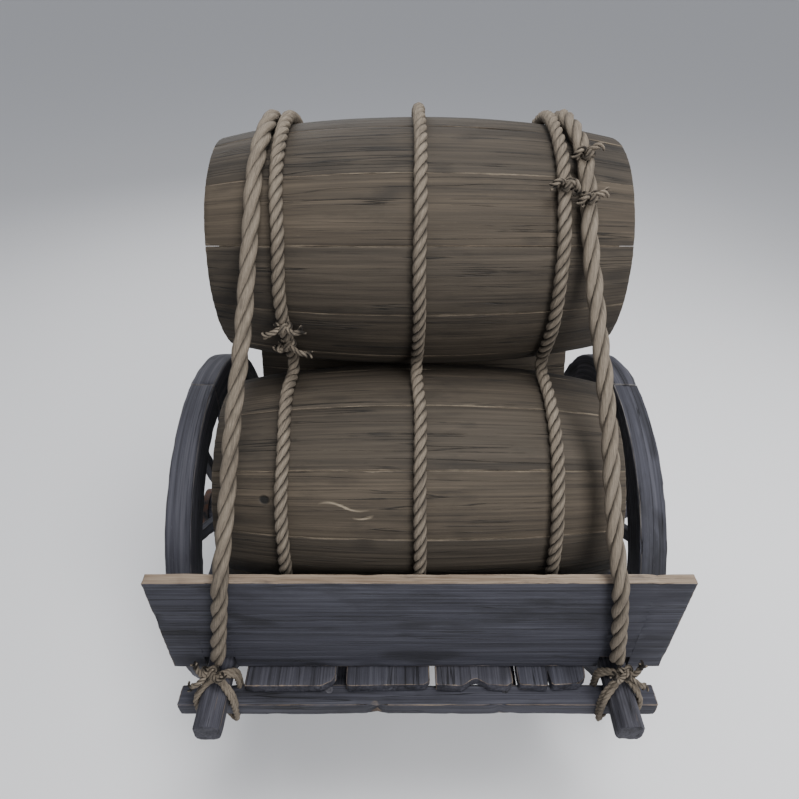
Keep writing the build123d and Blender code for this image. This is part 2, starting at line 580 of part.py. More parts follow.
def crossbeams():
    """Crossbeams under the planks and over the bearers."""
    holes = beam_pegs(FIT) + plank_pegs(FIT) + [axle_peg(-1, FIT), axle_peg(1, FIT)]

    def beam(half, y0, y1):
        body = block(-half, half, y0, y1, BEAM_UNDER, PLANK_UNDER)
        body = chamfer(body.edges().filter_by(Axis.X), BEAM_CHAMFER)
        for hole in holes:
            if y0 < hole.center().Y < y1:
                body -= hole
        return body

    inner_face = CROSSBEAM_REACH - CROSSBEAM_WIDE
    front = beam(CROSSBEAM_HALF, -CROSSBEAM_REACH, -inner_face)
    chip = polygon_prism([(-135, 12), (-112, -14), (-96, -9), (-80, 12)], Plane.XY, 14)
    front -= Pos(0, -CROSSBEAM_REACH - 4, PLANK_UNDER) * chip
    save("front_crossbeam", front)
    save("rear_crossbeam", beam(CROSSBEAM_HALF, inner_face, CROSSBEAM_REACH))
    half_wide = INNER_BEAM_WIDE / 2
    save("middle_crossbeam", beam(INNER_BEAM_HALF, -half_wide, half_wide))
    save("inner_crossbeams", *[beam(INNER_BEAM_HALF, y - half_wide, y + half_wide)
                               for y in (-INNER_BEAM_Y, INNER_BEAM_Y)])
    save("crossbeam_pegs", *beam_pegs())
    save("plank_pegs", *plank_pegs())
    save("axle_pegs", axle_peg(-1), axle_peg(1))


def bearers():
    """Two long bearers between the axle tree and the crossbeams."""
    holes = beam_pegs(FIT) + [axle_peg(-1, FIT), axle_peg(1, FIT)] + prop_fixings(FIT)
    for side, sign in (("left", -1), ("right", 1)):
        inner, outer = BEARER_X - BEARER_WIDE / 2, BEARER_X + BEARER_WIDE / 2
        bearer = block(sign * inner, sign * outer, -BEARER_REACH, BEARER_REACH, BEARER_UNDER, BEAM_UNDER)
        bearer = chamfer(bearer.edges().filter_by(Axis.Y), TIMBER_CHAMFER)
        for end in (-1, 1):
            scarf = [(end * BEARER_REACH, BEAM_UNDER), (end * (BEARER_REACH + 1), BEARER_UNDER),
                     (end * (BEARER_REACH - BEARER_SCARF), BEARER_UNDER)]
            bearer -= Pos(sign * BEARER_X, 0, 0) * polygon_prism(scarf, Plane.YZ, BEARER_WIDE + 2)
        for hole in holes:
            if sign * hole.center().X > 0:
                bearer -= hole
        save(f"{side}_bearer", bearer)


def poles():
    """Eight-sided side poles that lie on the crossbeams."""
    circumradius = POLE_ACROSS / 2 / cos(pi / 8)
    for side, sign in (("left", -1), ("right", 1)):
        section = Plane.XZ * Rot(0, 0, 22.5) * RegularPolygon(circumradius, 8)
        pole = extrude(section, POLE_REACH, both=True)
        pole = Pos(sign * POLE_X, 0, PLANK_UNDER + POLE_ACROSS / 2) * pole
        pole = chamfer(pole.faces().filter_by(Axis.Y).edges(), TIMBER_CHAMFER)
        save(f"{side}_side_pole", pole)


def end_boards():
    """Upright boards at both ends, notched over the side poles."""
    for name, end in (("front_board", -1), ("rear_board", 1)):
        board = block(-BOARD_HALF, BOARD_HALF, end * BOARD_BACK, end * BOARD_FRONT, BED_HEIGHT, BOARD_TOP)
        board = chamfer(board.edges(), BOARD_CHAMFER)
        for sign in (-1, 1):
            half = POLE_ACROSS / 2 + NOTCH_CLEAR
            board -= block(sign * POLE_X - half, sign * POLE_X + half, end * (BOARD_BACK - OVERCUT),
                           end * (BOARD_FRONT + OVERCUT), BED_HEIGHT - OVERCUT, POLE_TOP + NOTCH_CLEAR)
        save(name, board)


def chocks():
    """Blocks between and outside the lower barrels, cut to rest against them."""
    angle = radians(CHOCK_CONTACT)
    rest = barrel_radius(CHOCK_X[0]) + GAP
    contact_z = LOW_BARREL_Z - rest * cos(angle)
    contact_y = rest * sin(angle)
    top_z = contact_z + CHOCK_RISE
    toe = contact_y - (contact_z - BED_HEIGHT) / tan(angle)
    heel = contact_y + (top_z - contact_z) / tan(angle)
    thick = CHOCK_X[1] - CHOCK_X[0]
    middle_outline = [(-BARREL_SPREAD + toe, BED_HEIGHT), (BARREL_SPREAD - toe, BED_HEIGHT),
                      (BARREL_SPREAD - heel, top_z), (heel - BARREL_SPREAD, top_z)]
    outer_outline = [(BARREL_SPREAD + toe, BED_HEIGHT), (BARREL_SPREAD + heel, top_z),
                     (BARREL_SPREAD + heel + CHOCK_HEEL, top_z), (BARREL_SPREAD + heel + CHOCK_HEEL, BED_HEIGHT)]
    places = [Pos(sign * (CHOCK_X[0] + CHOCK_X[1]) / 2, 0, 0) for sign in (-1, 1)]
    middle = polygon_prism(middle_outline, Plane.YZ, thick)
    outer = polygon_prism(outer_outline, Plane.YZ, thick)
    save("middle_chocks", *[place * middle for place in places])
    save("outer_chocks", *[place * piece for place in places for piece in (outer, mirror(outer, Plane.XZ))])


# ---------------------------------------------------------------- props
def prop_sides():
    """Name, side, end and inner face of each prop; front pair outside the bearers."""
    outside = BEARER_X + BEARER_WIDE / 2 + PROP_SIDE_GAP
    inside = BEARER_X - BEARER_WIDE / 2 - PROP_SIDE_GAP - PROP_THICK
    for end_name, end, near in (("front", -1, outside), ("rear", 1, inside)):
        for side_name, side in (("left", -1), ("right", 1)):
            yield f"{end_name}_{side_name}_prop", side, end, near


def prop_lean():
    """Unit direction (y, z) from a front prop's pivot down to its foot."""
    drop, inward = -PIVOT_Z, PROP_PIVOT_Y - PROP_FOOT_Y
    length = hypot(drop, inward)
    return inward / length, drop / length


def prop_fixings(play=0.0):
    """Pivot pins and stop pegs of the four props."""
    lean_y, lean_z = prop_lean()
    fixings = []
    for _, side, end, near in prop_sides():
        far = near + PROP_THICK
        bearer_near, bearer_far = BEARER_X - BEARER_WIDE / 2, BEARER_X + BEARER_WIDE / 2
        pin_low, pin_high = min(near, bearer_near) - PIN_PROUD, max(far, bearer_far) + PIN_PROUD
        y = end * PROP_PIVOT_Y
        pin = rod((side * pin_low, y, PIVOT_Z), (side * pin_high, y, PIVOT_Z), PROP_PIN_RADIUS + play)
        away = PROP_WIDE / 2 + STOP_RADIUS + STOP_CLEAR
        stop_y = -PROP_PIVOT_Y + lean_y * STOP_DROP - lean_z * away
        stop_z = PIVOT_Z + lean_z * STOP_DROP + lean_y * away
        start, finish = (bearer_near + STOP_SHORT, far) if near > BEARER_X else (near, bearer_far - STOP_SHORT)
        stop = rod((side * start, -end * stop_y, stop_z), (side * finish, -end * stop_y, stop_z),
                   STOP_RADIUS + play)
        fixings += [pin, stop]
    return fixings


def props():
    """Four swinging legs that hold the cart level."""
    lean_y, lean_z = prop_lean()
    half = PROP_WIDE / 2
    foot = 1.1 * PIVOT_Z
    shift = (lean_y * foot, lean_z * foot)
    side_step = (-lean_z * half, lean_y * half)
    outline = [(-side_step[0], -side_step[1]), side_step,
               (side_step[0] + shift[0], side_step[1] + shift[1]),
               (shift[0] - side_step[0], shift[1] - side_step[1])]
    for name, side, end, near in prop_sides():
        leg = polygon_prism(outline, Plane.YZ, PROP_THICK)
        leg += rod((-PROP_THICK / 2, 0, 0), (PROP_THICK / 2, 0, 0), half)
        leg -= rod((-PROP_THICK, 0, 0), (PROP_THICK, 0, 0), PROP_PIN_RADIUS + FIT)
        if end > 0:
            leg = mirror(leg, Plane.XZ)
        leg = Pos(side * (near + PROP_THICK / 2), end * PROP_PIVOT_Y, PIVOT_Z) * leg
        leg &= block(-BOARD_HALF, BOARD_HALF, -POLE_REACH, POLE_REACH, 0, BED_HEIGHT)
        save(name, leg)
    save("prop_pins", *prop_fixings())


os.makedirs("parts", exist_ok=True)
barrel("front_barrel", -BARREL_SPREAD, LOW_BARREL_Z, LOW_SEAM_ANGLE)
barrel("rear_barrel", BARREL_SPREAD, LOW_BARREL_Z, LOW_SEAM_ANGLE)
barrel("top_barrel", 0.0, TOP_BARREL_Z, TOP_SEAM_ANGLE)
for lashing_name, lashing_x in (("left", -LASHING_X), ("middle", 0.0), ("right", LASHING_X)):
    lashing(f"{lashing_name}_lashing", lashing_x)
for side_name, side_sign in (("left", -1), ("right", 1)):
    tie_rope(f"{side_name}_tie_rope", side_sign)
    wheel(side_name, side_sign)
    for end_name, end_sign in (("front", -1), ("rear", 1)):
        pole_lashing(f"{end_name}_{side_name}_pole_lashing", side_sign, end_sign)
axle()
planks()
crossbeams()
bearers()
poles()
end_boards()
chocks()
props()
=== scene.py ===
"""The looks of a two-wheeled timber cart loaded with three roped barrels.

Metres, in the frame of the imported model: +Z up, -Y the end with the worn
plank ends. Wood pieces are blocks on a grid that are weathered while they
are straight and then laid, bent or tapered into place. Ropes are three
strands twisted round a route.
"""
import random
from math import acos, asin, atan2, cos, degrees, exp, hypot, pi, radians, sin, sqrt, tan
from typing import NamedTuple

import bmesh
import bpy
from mathutils import Matrix, Vector, noise


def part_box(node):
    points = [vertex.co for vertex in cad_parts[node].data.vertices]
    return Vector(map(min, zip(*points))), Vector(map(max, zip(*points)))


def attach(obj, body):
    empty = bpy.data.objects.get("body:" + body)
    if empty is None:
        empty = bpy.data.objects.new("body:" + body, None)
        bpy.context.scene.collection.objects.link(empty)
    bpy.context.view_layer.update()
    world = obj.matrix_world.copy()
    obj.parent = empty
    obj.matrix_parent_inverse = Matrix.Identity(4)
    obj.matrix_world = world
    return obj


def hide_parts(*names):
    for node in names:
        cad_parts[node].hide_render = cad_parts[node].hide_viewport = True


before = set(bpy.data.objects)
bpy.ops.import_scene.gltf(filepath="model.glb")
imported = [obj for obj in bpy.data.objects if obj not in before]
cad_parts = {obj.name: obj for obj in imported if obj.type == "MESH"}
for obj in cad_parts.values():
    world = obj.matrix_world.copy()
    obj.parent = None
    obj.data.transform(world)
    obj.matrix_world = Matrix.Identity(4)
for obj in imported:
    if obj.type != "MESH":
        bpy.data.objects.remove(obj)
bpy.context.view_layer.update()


# ---- sizes, from the frame where it has them
def middle(node):
    """Centre of a node's box."""
    low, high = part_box(node)
    return (low + high) / 2


def extent(node):
    """Size of a node's box."""
    low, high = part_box(node)
    return high - low


SIDES = (("left", -1), ("right", 1))
ENDS = (("front", -1), ("rear", 1))

BARREL_LENGTH = extent("front_barrel_staves").x
BILGE_RADIUS = extent("front_barrel_staves").z / 2
BILGE_ARC = 3.0            # radius of the middle part of a stave's curve
BILGE_HALF = 0.26          # half length of that middle part
QUARTER_ARC = 1.57         # radius of the curve towards the ends
STAVE_COUNT = 12
STAVE_THICK = 0.024
STAVE_GAP = 0.0006
STAVE_SINK = 0.0012        # most that a stave lies below its neighbours
CHIME_LONG = 0.02          # the end of a stave that gets thinner
CHIME_THIN = 0.35          # share of the thickness it loses
HEAD_BOARDS = 4
HEAD_GAP = 0.0008
LOW_SEAM_ANGLE = 17.6
TOP_SEAM_ANGLE = 23.5
BARREL_SPREAD = middle("rear_barrel_staves").y
LOW_BARREL_Z = middle("front_barrel_staves").z
TOP_BARREL_Z = middle("top_barrel_staves").z

WHEEL_RADIUS = extent("left_felloes").z / 2
AXLE_Z = WHEEL_RADIUS
FELLOE_COUNT = 5
FELLOE_DEPTH = 0.112
FELLOE_GAP = 0.0012
SPOKE_COUNT = 10
SPOKE_WIDE = 0.046
SPOKE_THICK = 0.032
SPOKE_TAPER = 0.26         # share of its width a spoke loses towards the rim
SPOKE_WAIST = 0.10         # share of its thickness it loses halfway
NAVE_RADIUS = extent("left_nave").z / 2
NAVE_END_RADIUS = 0.072
NAVE_BORE = 0.0381
NAVE_PROFILE = (           # distance from an end, and radius there
    (0.0, NAVE_BORE), (0.0, NAVE_END_RADIUS - 0.003), (0.003, NAVE_END_RADIUS),
    (0.026, NAVE_END_RADIUS), (0.050, NAVE_END_RADIUS + 0.010), (0.068, NAVE_RADIUS - 0.001),
    (0.072, NAVE_RADIUS))
AXLE_BEAM_HALF = 0.560
ARM_RADIUS = 0.032

BED_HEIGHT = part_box("bed_plank_1")[1].z
POLE_ACROSS = extent("left_side_pole").x
POLE_FLAT = POLE_ACROSS / 2 * tan(pi / 8)      # half the width of a pole's facet
POLE_X = middle("right_side_pole").x
POLE_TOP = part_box("right_side_pole")[1].z
POLE_PLAY = 0.003          # between a pole and a board's notch
BEAM_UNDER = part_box("front_crossbeam")[0].z
BOARD_FRONT = -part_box("front_board")[0].y
BOARD_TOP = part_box("front_board")[1].z
CROSSBEAM_WIDE = extent("front_crossbeam").y
PROP_WIDE = 0.060
PROP_PIVOT_Y = 0.250
PROP_FOOT_Y = 0.220
PROP_ANKLE = 0.03          # over which a prop's end turns level

LASHING_RADIUS = 0.016
LASHING_X = 0.320
TIE_RADIUS = 0.020
TIE_TOP_X, TIE_SHOULDER_X, TIE_BOARD_X, TIE_FOOT_X = 0.360, 0.380, 0.455, 0.506
TIE_SHOULDER = 0.62        # share of the way up at which a tie rope meets the barrel
TIE_BEND = 0.045
CORD_RADIUS = 0.008
VALLEY_BEND = 0.030
LASH_CENTRE_Y = -middle("front_crossbeam").y
ROPE_CLEAR = 0.0003        # between a rope and what it lies on
STRANDS = 3


# ---- shader tools
def arithmetic(operation, swapped=False):
    """A method that adds a Math node."""
    def method(self, other=0.0, **settings):
        settings["operation"] = operation
        first, second = (other, self) if swapped else (self, other)
        return self.paint.node("ShaderNodeMath", settings, {0: first, 1: second})

    return method


class Value:
    """A shader socket. Arithmetic on it adds Math nodes."""

    def __init__(self, paint, socket):
        self.paint = paint
        self.socket = socket

    __add__ = __radd__ = arithmetic("ADD")
    __sub__ = arithmetic("SUBTRACT")
    __rsub__ = arithmetic("SUBTRACT", swapped=True)
    __mul__ = arithmetic("MULTIPLY")
    __abs__ = arithmetic("ABSOLUTE")
    sine = arithmetic("SINE")

    def clamp(self):
        """The value held between 0 and 1."""
        return arithmetic("MULTIPLY")(self, 1.0, use_clamp=True)


class Paint:
    """A material and the one method that adds its nodes."""

    def __init__(self, name):
        self.material = bpy.data.materials.new(name)
        self.material.use_nodes = True
        self.tree = self.material.node_tree
        self.tree.nodes.clear()

    def node(self, kind, settings=None, sockets=None, output=0):
        """Add a node, set it up, feed its sockets, return one output."""
        node = self.tree.nodes.new(kind)
        for key, value in (settings or {}).items():
            if key == "stops":
                ramp = node.color_ramp
                while len(ramp.elements) < len(value):
                    ramp.elements.new(1.0)
                for element, (position, colour) in zip(ramp.elements, value):
                    element.position = position
                    element.color = (*colour, 1.0)
            else:
                setattr(node, key, value)
        for key, value in (sockets or {}).items():
            if isinstance(value, Value):
                self.tree.links.new(value.socket, node.inputs[key])
            else:
                node.inputs[key].default_value = value
        return Value(self, node.outputs[output]) if len(node.outputs) else None

    def attribute(self, name, output="Fac"):
        """A value stored on the mesh."""
        return self.node("ShaderNodeAttribute", {"attribute_name": name}, output=output)

    def object_coordinates(self):
        return self.node("ShaderNodeTexCoord", output="Object")

    def stretched(self, vector, scale):
        """Coordinates stretched by a scale for each axis."""
        return self.node("ShaderNodeMapping", None, {"Vector": vector, "Scale": scale})

    def noise(self, vector, along, across, detail, roughness, distortion=0.0):
        """Noise from 0 to 1, with one scale along X and another across it."""
        vector = self.stretched(vector, (along, across, across))
        return self.node("ShaderNodeTexNoise", None, {
            "Vector": vector, "Scale": 1.0, "Detail": detail,
            "Roughness": roughness, "Distortion": distortion})

    def ramp(self, factor, stops):
        return self.node("ShaderNodeValToRGB", {"stops": stops}, {"Fac": factor})

    def mix(self, factor, first, second, blend="MIX"):
        """Two colours mixed by a factor."""
        if isinstance(second, tuple):
            second = (*second, 1.0)
        settings = {"data_type": "RGBA", "blend_type": blend, "clamp_factor": True}
        return self.node("ShaderNodeMix", settings, {0: factor, 6: first, 7: second}, output=2)

    def line(self, value, centre, width):
        """1 where a value crosses a centre, falling to 0 within a width."""
        return (1.0 - abs(value - centre) * (1.0 / width)).clamp()

    def above(self, value, start, end):
        """0 below the start, 1 above the end."""
        return ((value - start) * (1.0 / (end - start))).clamp()

    def finish(self, colour, roughness, height, depth, metallic=0.0, specular=0.35):
        """Close the material with a principled shader."""
        normal = self.node("ShaderNodeBump", None,
                           {"Strength": 1.0, "Distance": depth, "Height": height})
        shader = self.node("ShaderNodeBsdfPrincipled", None, {
            "Base Color": colour, "Roughness": roughness, "Normal": normal,
            "Metallic": metallic, "Specular IOR Level": specular})
        self.node("ShaderNodeOutputMaterial", None, {"Surface": shader})
        return self.material


def toned(colour, share):
    """A colour with every channel times a share."""
    return tuple(channel * share for channel in colour)


# ---- finishes
HOLE_LONG = 0.7                            # the hole's height as a share of its length
# The hole's dark colour is painted shade inside it.
HOLE = (-0.363 * HOLE_LONG, 0.0, 1.252)    # dark hole in the front barrel
HOLE_RADII = (0.006, 0.010)                # dark within the first, clear beyond the second
SCAR = (-0.175, 1.252)                     # pale curved dents beside it, X and Z
SCAR_HALF = 0.062                          # half length of the long one
SHORT_SCAR = (0.045, 0.017, 0.026)         # the short one: way off in +X and -Z, half length
SCAR_WIDE = 0.0034
FACE_Y = -0.50                             # the marks fade towards this Y
RELIEF = 0.0022                            # height of the fine surface detail


def barrel_marks(paint, place, lines):
    """Masks of the hole, painted as shade, and of the pale dents, on the front of the front barrel."""
    x, y, z = (paint.node("ShaderNodeSeparateXYZ", None, {0: place}, name) for name in "XYZ")
    seen = paint.stretched(place, (HOLE_LONG, 0.0, 1.0))
    away = paint.node("ShaderNodeVectorMath", {"operation": "DISTANCE"}, {0: seen, 1: HOLE}, "Value")
    hole = 1.0 - paint.above(away, *HOLE_RADII)
    bend = z + (((x - SCAR[0]) * 45.0).sine() * 0.007 + lines * 0.010 - 0.005)
    aside, below, half = SHORT_SCAR
    scar = paint.line(bend, SCAR[1], SCAR_WIDE) * paint.line(x, SCAR[0], SCAR_HALF)
    scar += paint.line(bend, SCAR[1] - below, SCAR_WIDE) * paint.line(x, SCAR[0] + aside, half)
    scar = (scar * (1.0 - paint.above(y, -0.54, FACE_Y)) * 1.8).clamp()
    return hole * (1.0 - paint.above(y, -0.52, FACE_Y)), scar


def wood(name, dark, main, light, worn, rub_and_lit_amount=1.0, turn=None, marks=False):
    """Weathered wood: streaks along the grain, knots, stains and rubbed edges, with painted shade in
    cracks, dents and the barrel's hole, and a painted highlight on a face marked as a lit top.

    turn rotates Object coordinates so that the grain runs along X; without it
    the grain comes from the piece itself.
    """
    paint = Paint(name)
    place = paint.object_coordinates()
    if turn:
        grain = paint.node("ShaderNodeMapping", None, {"Vector": place, "Rotation": turn})
    else:
        grain = paint.attribute("grain", "Vector")
    fine = paint.noise(grain, 9.0, 420.0, 5.0, 0.7)
    lines = paint.noise(grain, 2.4, 150.0, 4.0, 0.6, 0.15)
    streak = paint.noise(grain, 1.3, 52.0, 4.0, 0.6, 0.35)
    broad = paint.noise(grain, 0.9, 9.0, 3.0, 0.5, 0.7)
    blotch = paint.noise(grain, 3.0, 8.0, 5.0, 0.65)
    speck = paint.noise(grain, 70.0, 260.0, 3.0, 0.7)
    split = paint.noise(grain, 0.8, 27.0, 3.0, 0.5)
    crack = paint.line(split, 0.5, 0.011) * paint.above(blotch, 0.40, 0.52)
    knot = paint.node("ShaderNodeTexVoronoi", {"feature": "F1"}, output="Distance",
                      sockets={"Vector": paint.stretched(grain, (1.9, 8.0, 8.0)), "Scale": 1.0})
    knot = (1.0 - paint.above(knot, 0.05, 0.11)) * paint.above(broad, 0.50, 0.56)

    tone = lines * 0.42 + streak * 0.36 + broad * 0.22 + fine * 0.16 - 0.08
    colour = paint.ramp(tone, [(0.36, dark), (0.50, main), (0.66, light)])
    # The first colour darkens stains, grain lines and knots and is also painted shade in dents; the second
    # is painted shade in cracks and in the barrel's hole.
    stain_and_shade, deep_shade, pale = toned(dark, 0.4), toned(dark, 0.15), toned(light, 1.3)
    height = lines * 0.5 + streak * 0.2 + fine * 0.2 + speck * 0.1 - crack * 0.8 - knot * 0.2
    layers = [(paint.above(blotch, 0.50, 0.70) * 0.65, stain_and_shade),
              (paint.above(speck, 0.62, 0.78) * 0.30, pale),
              (paint.line(lines, 0.36, 0.035) * 0.55, stain_and_shade),
              (knot * 0.8, stain_and_shade), (crack * 0.85, deep_shade)]
    if marks:
        hole, scar = barrel_marks(paint, place, lines)
        # The hole is painted shade; the dents are pale rubbed wood.
        layers += [(hole, deep_shade), (scar * 0.75, worn)]
        height = height - hole * 1.5 - scar * 0.6
    for amount, tint in layers:
        colour = paint.mix(amount, colour, tint)
    if not turn:
        shade = paint.ramp(paint.attribute("board"), [(0.0, (0.80, 0.81, 0.83)), (1.0, (1.12, 1.10, 1.06))])
        colour = paint.mix(1.0, colour, shade, "MULTIPLY")
        # Painted shade: darker in dents and between grain ridges.
        hollow = paint.attribute("hollow")
        colour = paint.mix(paint.above(hollow, 0.25, 1.0) * 0.6, colour, stain_and_shade)
        # Pale rubbed wood at worn edges; a face marked as a lit top gets the same pale colour as a painted
        # highlight.
        patchy = paint.noise(grain, 9.0, 30.0, 4.0, 0.7)
        edge = paint.attribute("wear") * 0.75 + patchy * 0.9 + speck * 0.2 - hollow * 0.25
        rub_and_lit_top = paint.above(edge, 0.98, 1.32)
        brown = tuple(channel * share for channel, share in zip(worn, (0.42, 0.36, 0.32)))
        bared_and_lit_top = paint.ramp(streak * 0.55 + fine * 0.45, [(0.40, brown), (0.60, worn)])
        colour = paint.mix(rub_and_lit_top * rub_and_lit_amount, colour, bared_and_lit_top)
    return paint.finish(colour, 0.66 + fine * 0.25, height, RELIEF)


def hemp(name, dark, main, light):
    """Laid rope: each strand is a bundle of twisted yarns, with painted shade where strands meet."""
    paint = Paint(name)
    grain = paint.attribute("grain", "Vector")
    yarn = paint.noise(grain, 26.0, 420.0, 4.0, 0.6)
    fibre = paint.noise(grain, 90.0, 1300.0, 3.0, 0.6)
    patch = paint.noise(paint.object_coordinates(), 9.0, 9.0, 4.0, 0.6)
    tone = yarn * 0.5 + fibre * 0.35 + patch * 0.35 - 0.1
    colour = paint.ramp(tone, [(0.30, dark), (0.52, main), (0.74, light)])
    colour = paint.mix(paint.above(patch, 0.5, 0.75) * 0.35, colour, dark)
    # Painted shade in the grooves where strands meet.
    colour = paint.mix(paint.above(paint.attribute("hollow"), 0.35, 0.85) * 0.95, colour, toned(dark, 0.16))
    height = yarn * 0.7 + fibre * 0.3
    return paint.finish(colour, 0.85 + fibre * 0.1, height, RELIEF, specular=0.2)


def iron(name):
    """Forged iron, dark with rust and rubbed high spots."""
    paint = Paint(name)
    place = paint.object_coordinates()
    scale = paint.noise(place, 38.0, 38.0, 6.0, 0.65)
    pit = paint.noise(place, 260.0, 260.0, 4.0, 0.6)
    rust = paint.above(scale + pit * 0.3, 0.58, 0.80)
    colour = paint.ramp(scale, [(0.3, (0.020, 0.020, 0.023)), (0.7, (0.075, 0.072, 0.072))])
    colour = paint.mix(rust * 0.85, colour, (0.13, 0.048, 0.020))
    roughness = 0.42 + rust * 0.4 + pit * 0.12
    metallic = 0.9 - rust * 0.8
    return paint.finish(colour, roughness, scale * 0.6 + pit * 0.4, 0.0012, metallic, 0.5)


# Colours in the dark lines, between them, in the light lines, and where rubbed; the last is also the
# painted highlight of a lit top face.
TIMBER = wood("weathered_timber", (0.0105, 0.0105, 0.015), (0.031, 0.031, 0.042),
              (0.073, 0.0735, 0.090), (0.270, 0.215, 0.160), 0.92)
WHEEL_TIMBER = wood("wheel_timber", (0.0115, 0.0118, 0.0165), (0.036, 0.0365, 0.049),
                    (0.084, 0.085, 0.104), (0.20, 0.187, 0.170), 0.65)
OAK = wood("oak_staves", (0.019, 0.014, 0.0094), (0.037, 0.0285, 0.0196),
           (0.066, 0.052, 0.037), (0.225, 0.188, 0.138), 0.9, marks=True)
OAK_HEAD = wood("oak_heads", (0.020, 0.015, 0.0102), (0.040, 0.031, 0.0215),
                (0.073, 0.058, 0.042), (0.19, 0.16, 0.12), 0.7)
PEG = wood("peg_wood", (0.012, 0.012, 0.015), (0.035, 0.034, 0.041),
           (0.075, 0.073, 0.084), (0.2, 0.18, 0.16), turn=(0.0, radians(90), 0.0))
BUNG = wood("bung_wood", (0.024, 0.018, 0.012), (0.075, 0.056, 0.037),
            (0.14, 0.108, 0.074), (0.3, 0.24, 0.18), turn=(0.0, 0.0, 0.0001))
CHOCK = wood("chock_timber", (0.014, 0.0145, 0.018), (0.043, 0.044, 0.053),
             (0.095, 0.096, 0.11), (0.25, 0.24, 0.22), turn=(0.0, 0.0, radians(90)))
HEMP = hemp("hemp_rope", (0.040, 0.034, 0.029), (0.145, 0.120, 0.092), (0.265, 0.226, 0.178))
IRON = iron("wrought_iron")


# ---- objects and meshes
def link(name, data):
    """Put a new object in the scene."""
    item = bpy.data.objects.new(name, data)
    bpy.context.scene.collection.objects.link(item)
    return item


def dress(mesh, material):
    mesh.materials.clear()
    mesh.materials.append(material)


def show(name, mesh, material, nodes=(), body="cart"):
    """Link a piece and give it its finish, its body and the nodes it stands for."""
    piece = link(name, mesh)
    dress(mesh, material)
    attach(piece, body)
    if nodes:
        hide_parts(*nodes)


def mesh_from(name, bm):
    """A mesh made of a bmesh, which is then freed."""
    mesh = bpy.data.meshes.new(name)
    bm.to_mesh(mesh)
    bm.free()
    return mesh


def surface_layers(bm):
    """Add what the finishes read at each point: grain, wear (which also marks a face painted pale as a lit
    top), hollows that take painted shade, and board.
    """
    layers = bm.verts.layers
    layers.float_vector.new("grain")
    for name in ("wear", "hollow", "board"):
        layers.float.new(name)
    return layers.float_vector["grain"], *layers.float.values()


# ---- making wood
class Wear(NamedTuple):
    """How hard one kind of wood has been used; all depths in metres."""
    ridge: float            # grain that stands up between softer lines
    gouge: float            # deepest dents in a face
    edge: float             # the usual rounding of an edge
    chip: float             # deepest bites out of an edge
    sway: float             # slow unevenness of the whole face
    tight: tuple = (1.0, 1.0, 1.0)      # share of all this on the faces across X, Y and Z


HEWN = Wear(0.0009, 0.0035, 0.0035, 0.010, 0.0030)
SAWN = Wear(0.0008, 0.0030, 0.0025, 0.008, 0.0015)
COOPERED = Wear(0.0008, 0.0014, 0.0012, 0.002, 0.0008, (1.0, 0.12, 1.0))
FITTED = Wear(0.0005, 0.0012, 0.0014, 0.003, 0.0006, (1.0, 0.2, 1.0))
WHEELWORK = Wear(0.0006, 0.0042, 0.0045, 0.010, 0.0018, (0.25, 1.0, 1.0))
BITE_REACH = 0.008         # how far from an edge its bites reach
RUB_REACH = 0.0045         # how far from an edge the wood is rubbed
SHOULDER_HALF = 0.0002     # half the space between the rows at a shoulder
LIT_TOP_VALUE = 1.15                # wear value that paints a face pale as a lit top: a painted highlight


def rates(spot, along, across, offset=0.0):
    """Where to read noise that changes at one rate along X and another across it."""
    return Vector((spot.x * along, spot.y * across, spot.z * across + offset))


